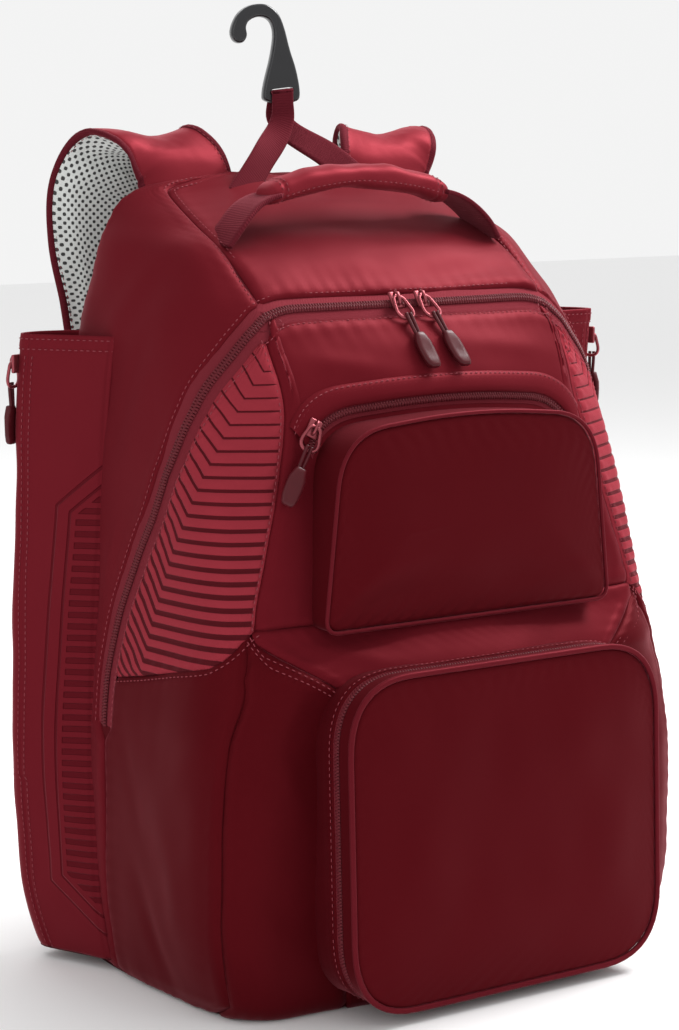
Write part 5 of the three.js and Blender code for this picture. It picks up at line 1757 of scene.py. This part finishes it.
# Back pad.
pad_outline = round_corners(
    [(-128, 0.13 * HEIGHT), (128, 0.13 * HEIGHT), (128, 0.86 * HEIGHT), (-128, 0.86 * HEIGHT)], [40] * 4, 10
)
pad_outline = resample(pad_outline, 240, closed=True)
middle = pad_outline.mean(0)
rings = []
for f in np.concatenate([[1.0, 0.995, 0.985, 0.965], np.linspace(0.94, 0.02, 44)]):
    flat = lerp(middle, pad_outline, f)
    back = np.interp(flat[:, 1], ROW_Z, ROW_CORNERS[:, 5, 1])
    edge = min((1 - f) * 120, 12) / 12
    thick = 8.6 * (1 - (1 - edge) ** 2.2)
    channel = -2.6 * bell(flat[:, 0], 9) - 1.6 * bell(np.abs(flat[:, 1] - 250) - 62, 5) * (edge > 0.9)
    rings.append(np.stack([flat[:, 0], back + 0.2 + thick + channel * edge, flat[:, 1]], 1))
rings = np.array(rings)
points = np.vstack([rings.reshape(-1, 3), rings[-1].mean(0)[None]])
count = rings.shape[1]
faces = grid_faces(len(rings), count, 0, wrap=True, turned=True)
last = (len(rings) - 1) * count
faces += [[last + (j + 1) % count, last + j, len(points) - 1] for j in range(count)]
cushion = mesh_object("back_cushion", points, faces, points[:, [0, 2]])
held = np.repeat(np.clip((np.arange(len(rings)) - 3) / 6, 0, 1), count)
plump(cushion, 3, np.append(held, 1))
dress(cushion, MESH_DARK, "back_mesh", "back_pad", padded=0.7)

# Topstitching along the seams.
for side in (1, -1):
    hood_seam = np.array([[side * 1.0, s] for s in np.linspace(zip_out_side[0, 1] + 4, TOP - 30, 90)])
    for distance in (-3.2, 3.2):
        surface_stitch(beside(hood_seam, distance), 0.1)
    for distance in (3.0, 6.2):
        surface_stitch(spaced(beside(YOKE_EDGE * [side, 1], -side * distance), 120), 0.2)
    panel_edge = np.array([[side * 1.0, s] for s in np.linspace(YOKE_TOP, zip_in_side[0, 1], 80)])
    surface_stitch(beside(panel_edge, side * -3.0), 0.1)
    bottom = spaced(np.vstack([[side, YOKE_TOP], gusset_zip[0] * [side, 1]]), 60)
    surface_stitch(beside(bottom, side * -3.0), 0.2)
dress(make_stitches("stitching"), THREAD, "webbing")

# Zip pulls: slider, wire loop, cord and moulded tab.
SLIDER_ACROSS, SLIDER_ALONG, SLIDER_UP, SLIDER_BEVEL = (-4.4, 4.4), (-6, 6), (0.2, 2.6), 1.1
BRIDGE_LINE = [(-5, 1.5), (-4.6, 3.6), (-2.5, 5.0), (0.5, 5.2), (3, 4.4), (4, 2.2)]
LOOP_CORNERS = [(-3.4, -1.0), (3.4, -1.0), (6.6, 11), (3.5, 15), (-3.5, 15), (-6.6, 11)]
LOOP_ROUNDS = [3, 3, 4, 3, 3, 4]
CORD_LINE = [(1.5, 12.2), (1.6, 14.5), (1.5, 20), (1.2, 28), (1.2, 31)]
BRIDGE_RADIUS, WIRE_RADIUS = 1.0, 1.15
TAB_START, TAB_SIDES = 27.0, 24
# Sections of the tab: distance from its start, half width and half thickness.
TAB_SECTIONS = [
    (0.0, 2.6, 1.6),
    (0.4, 3.4, 2.2),
    (3.0, 4.2, 2.5),
    (7, 5.6, 2.5),
    (12, 5.9, 2.1),
    (19, 5.6, 2.1),
    (23, 4.6, 2.3),
    (24.6, 3.4, 1.9),
    (25.0, 2.4, 1.2),
]


def place(origin, down, out):
    """Places (across, along, up) on a surface: along runs down it and up leaves it."""
    w = np.array(down, float)
    w /= np.linalg.norm(w)
    n = np.array(out, float)
    n = n - w * (n @ w)
    n /= np.linalg.norm(n)
    u = np.cross(w, n)
    return lambda a, b, c: np.asarray(origin) + u * a + w * b + n * c


def face_outwards(made, bevel=0):
    mesh = bmesh.new()
    mesh.from_mesh(made.data)
    bmesh.ops.recalc_face_normals(mesh, faces=mesh.faces)
    if bevel:
        bmesh.ops.bevel(mesh, geom=mesh.edges, offset=bevel * MM, segments=3, affect="EDGES", profile=0.5)
    mesh.to_mesh(made.data)
    mesh.free()


def rounded_box(name, at, a, b, c, bevel):
    corners = [at(x, y, z) for z in c for x, y in ((a[0], b[0]), (a[1], b[0]), (a[1], b[1]), (a[0], b[1]))]
    faces = [(0, 1, 2, 3), (7, 6, 5, 4), (0, 4, 5, 1), (1, 5, 6, 2), (2, 6, 7, 3), (3, 7, 4, 0)]
    made = mesh_object(name, corners, faces)
    face_outwards(made, bevel)
    made.data.polygons.foreach_set("use_smooth", [True] * len(made.data.polygons))
    return made


def zip_pull(name, at, lift, lean=0.0):
    """A zip's slider with its bridge, wire loop, double cord and moulded tab."""

    def flat(line, height):
        return np.array([at(a + lean * b, b, height(b)) for a, b in line])

    def loop_height(b):
        return lift - 1.4 + 0.03 * b

    def cord_height(b):
        return lift + 0.9 - 0.05 * (b - 12)

    body_box = rounded_box(f"{name}_body", at, SLIDER_ACROSS, SLIDER_ALONG, SLIDER_UP, SLIDER_BEVEL)
    dress(body_box, PULL_METAL, "zip_pull", f"{name}_slider")
    bridge = smooth_path([at(0, b, c) for b, c in BRIDGE_LINE], 24)
    dress(tube_object(f"{name}_bridge", bridge, BRIDGE_RADIUS, 10), PULL_METAL, "zip_pull")
    loop = resample(round_corners(LOOP_CORNERS, LOOP_ROUNDS, 4), 60, closed=True)
    wire = tube_object(f"{name}_loop", flat(loop, loop_height), WIRE_RADIUS, 10, closed=True)
    dress(wire, PULL_METAL, "zip_pull", f"{name}_pull")
    for side in (-1, 1):
        cord = smooth_path(flat([(side * a, b) for a, b in CORD_LINE], cord_height), 30)
        dress(tube_object(f"{name}_cord_{side + 1}", cord, WIRE_RADIUS, 8), PULL_RUBBER, "zip_pull")
    turn = np.linspace(0, 2 * math.pi, TAB_SIDES, endpoint=False)
    c, d = np.cos(turn), np.sin(turn)
    rows = []
    for along, wide, thick in TAB_SECTIONS:
        a = wide * np.sign(c) * np.abs(c) ** 0.6
        h = thick * np.sign(d) * np.abs(d) ** 0.7
        dent = 0.7 * bell(along - 13, 6) * bell(a, 3) * (d > 0)
        b = TAB_START + along
        rows.append([at(x + lean * b, b, lift + 1.2 + z - q) for x, z, q in zip(a, h, dent)])
    rows = np.array(rows)
    faces = grid_faces(len(rows), TAB_SIDES, 0, wrap=True, turned=False)
    last = TAB_SIDES * (len(rows) - 1)
    faces += [list(range(TAB_SIDES))[::-1], list(range(last, last + TAB_SIDES))]
    made = mesh_object(f"{name}_tab", rows, faces)
    face_outwards(made)
    dress(made, PULL_RUBBER, "zip_pull")


PULL_LIFT, SLEEVE_PULL_LIFT = 5.3, 5.0
for name, x, lean in (("main_left", -14.0, 0.12), ("main_right", 6.0, 0.2)):
    p, n = lid_point(x, ZIP_TOP_Z, 1.6)
    low, _ = lid_point(x, ZIP_TOP_Z - 43, 0)
    zip_pull(name, place(p[0], low[0] - p[0], n[0]), PULL_LIFT, -lean)
upper_x = -1.01 * UPPER.top_half
p, n = lid_point(upper_x, UPPER.top, 2.6)
low, _ = lid_point(upper_x - 26, UPPER.top - 45, 2.6)
zip_pull("upper", place(p[0], low[0] - p[0], n[0]), PULL_LIFT)
for side, name in ((-1, "sleeve_left"), (1, "sleeve_right")):
    p, out = SLEEVE_TOPS[side]
    out = out * [1, 1, 0]
    out /= np.linalg.norm(out)
    zip_pull(name, place(p + out * 0.8, (0, 0, -1), out), SLEEVE_PULL_LIFT)
for name in ("strap_buckle_left", "strap_buckle_right"):
    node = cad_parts[name]
    node.data.materials.clear()
    node.data.materials.append(BLACK)

# Floor, light and camera.
floor_mesh = bpy.data.meshes.new("floor")
floor_mesh.from_pydata([(-6, -6, 0), (6, -6, 0), (6, 6, 0), (-6, 6, 0)], [], [(0, 1, 2, 3)])
floor = bpy.data.objects.new("floor", floor_mesh)
bpy.context.scene.collection.objects.link(floor)
material, tree, shader = start_material("pale_floor")
shader.inputs["Base Color"].default_value = (0.9, 0.9, 0.9, 1)
shader.inputs["Roughness"].default_value = 0.9
shader.inputs["Specular IOR Level"].default_value = 0.1
floor_mesh.materials.append(material)

WORLD_STRENGTH = 0.9
world = bpy.data.worlds.new("studio")
bpy.context.scene.world = world
world.use_nodes = True
world.node_tree.nodes["Background"].inputs[0].default_value = (1, 1, 1, 1)
world.node_tree.nodes["Background"].inputs[1].default_value = WORLD_STRENGTH
bpy.context.scene.view_settings.view_transform = "Standard"


def area_light(name, at, target, size, power):
    light = bpy.data.lights.new(name, "AREA")
    light.shape = "RECTANGLE"
    light.size, light.size_y = size
    light.energy = power
    obj = bpy.data.objects.new(name, light)
    obj.location = at
    obj.rotation_euler = (Vector(target) - Vector(at)).to_track_quat("-Z", "Y").to_euler()
    bpy.context.scene.collection.objects.link(obj)


area_light("key", (1.1, -0.1, 1.7), (0, -0.05, 0.35), (0.9, 0.8), 44)
area_light("fill", (-2.2, -1.0, 1.0), (0, 0, 0.3), (0.8, 1.4), 5)
area_light("rim", (0.4, 1.8, 1.9), (0, 0, 0.35), (1.6, 0.8), 10)

CAMERA_AT, CAMERA_TARGET, CAMERA_LENS = (-1.0797, -1.5040, 0.5589), (0.0006, 0, 0.2844), 98.4
camera = bpy.data.cameras.new("camera")
camera.lens = CAMERA_LENS
camera.sensor_width = 36
view = bpy.data.objects.new("camera", camera)
view.location = CAMERA_AT
view.rotation_euler = (Vector(CAMERA_TARGET) - view.location).to_track_quat("-Z", "Y").to_euler()
bpy.context.scene.collection.objects.link(view)
bpy.context.scene.camera = view
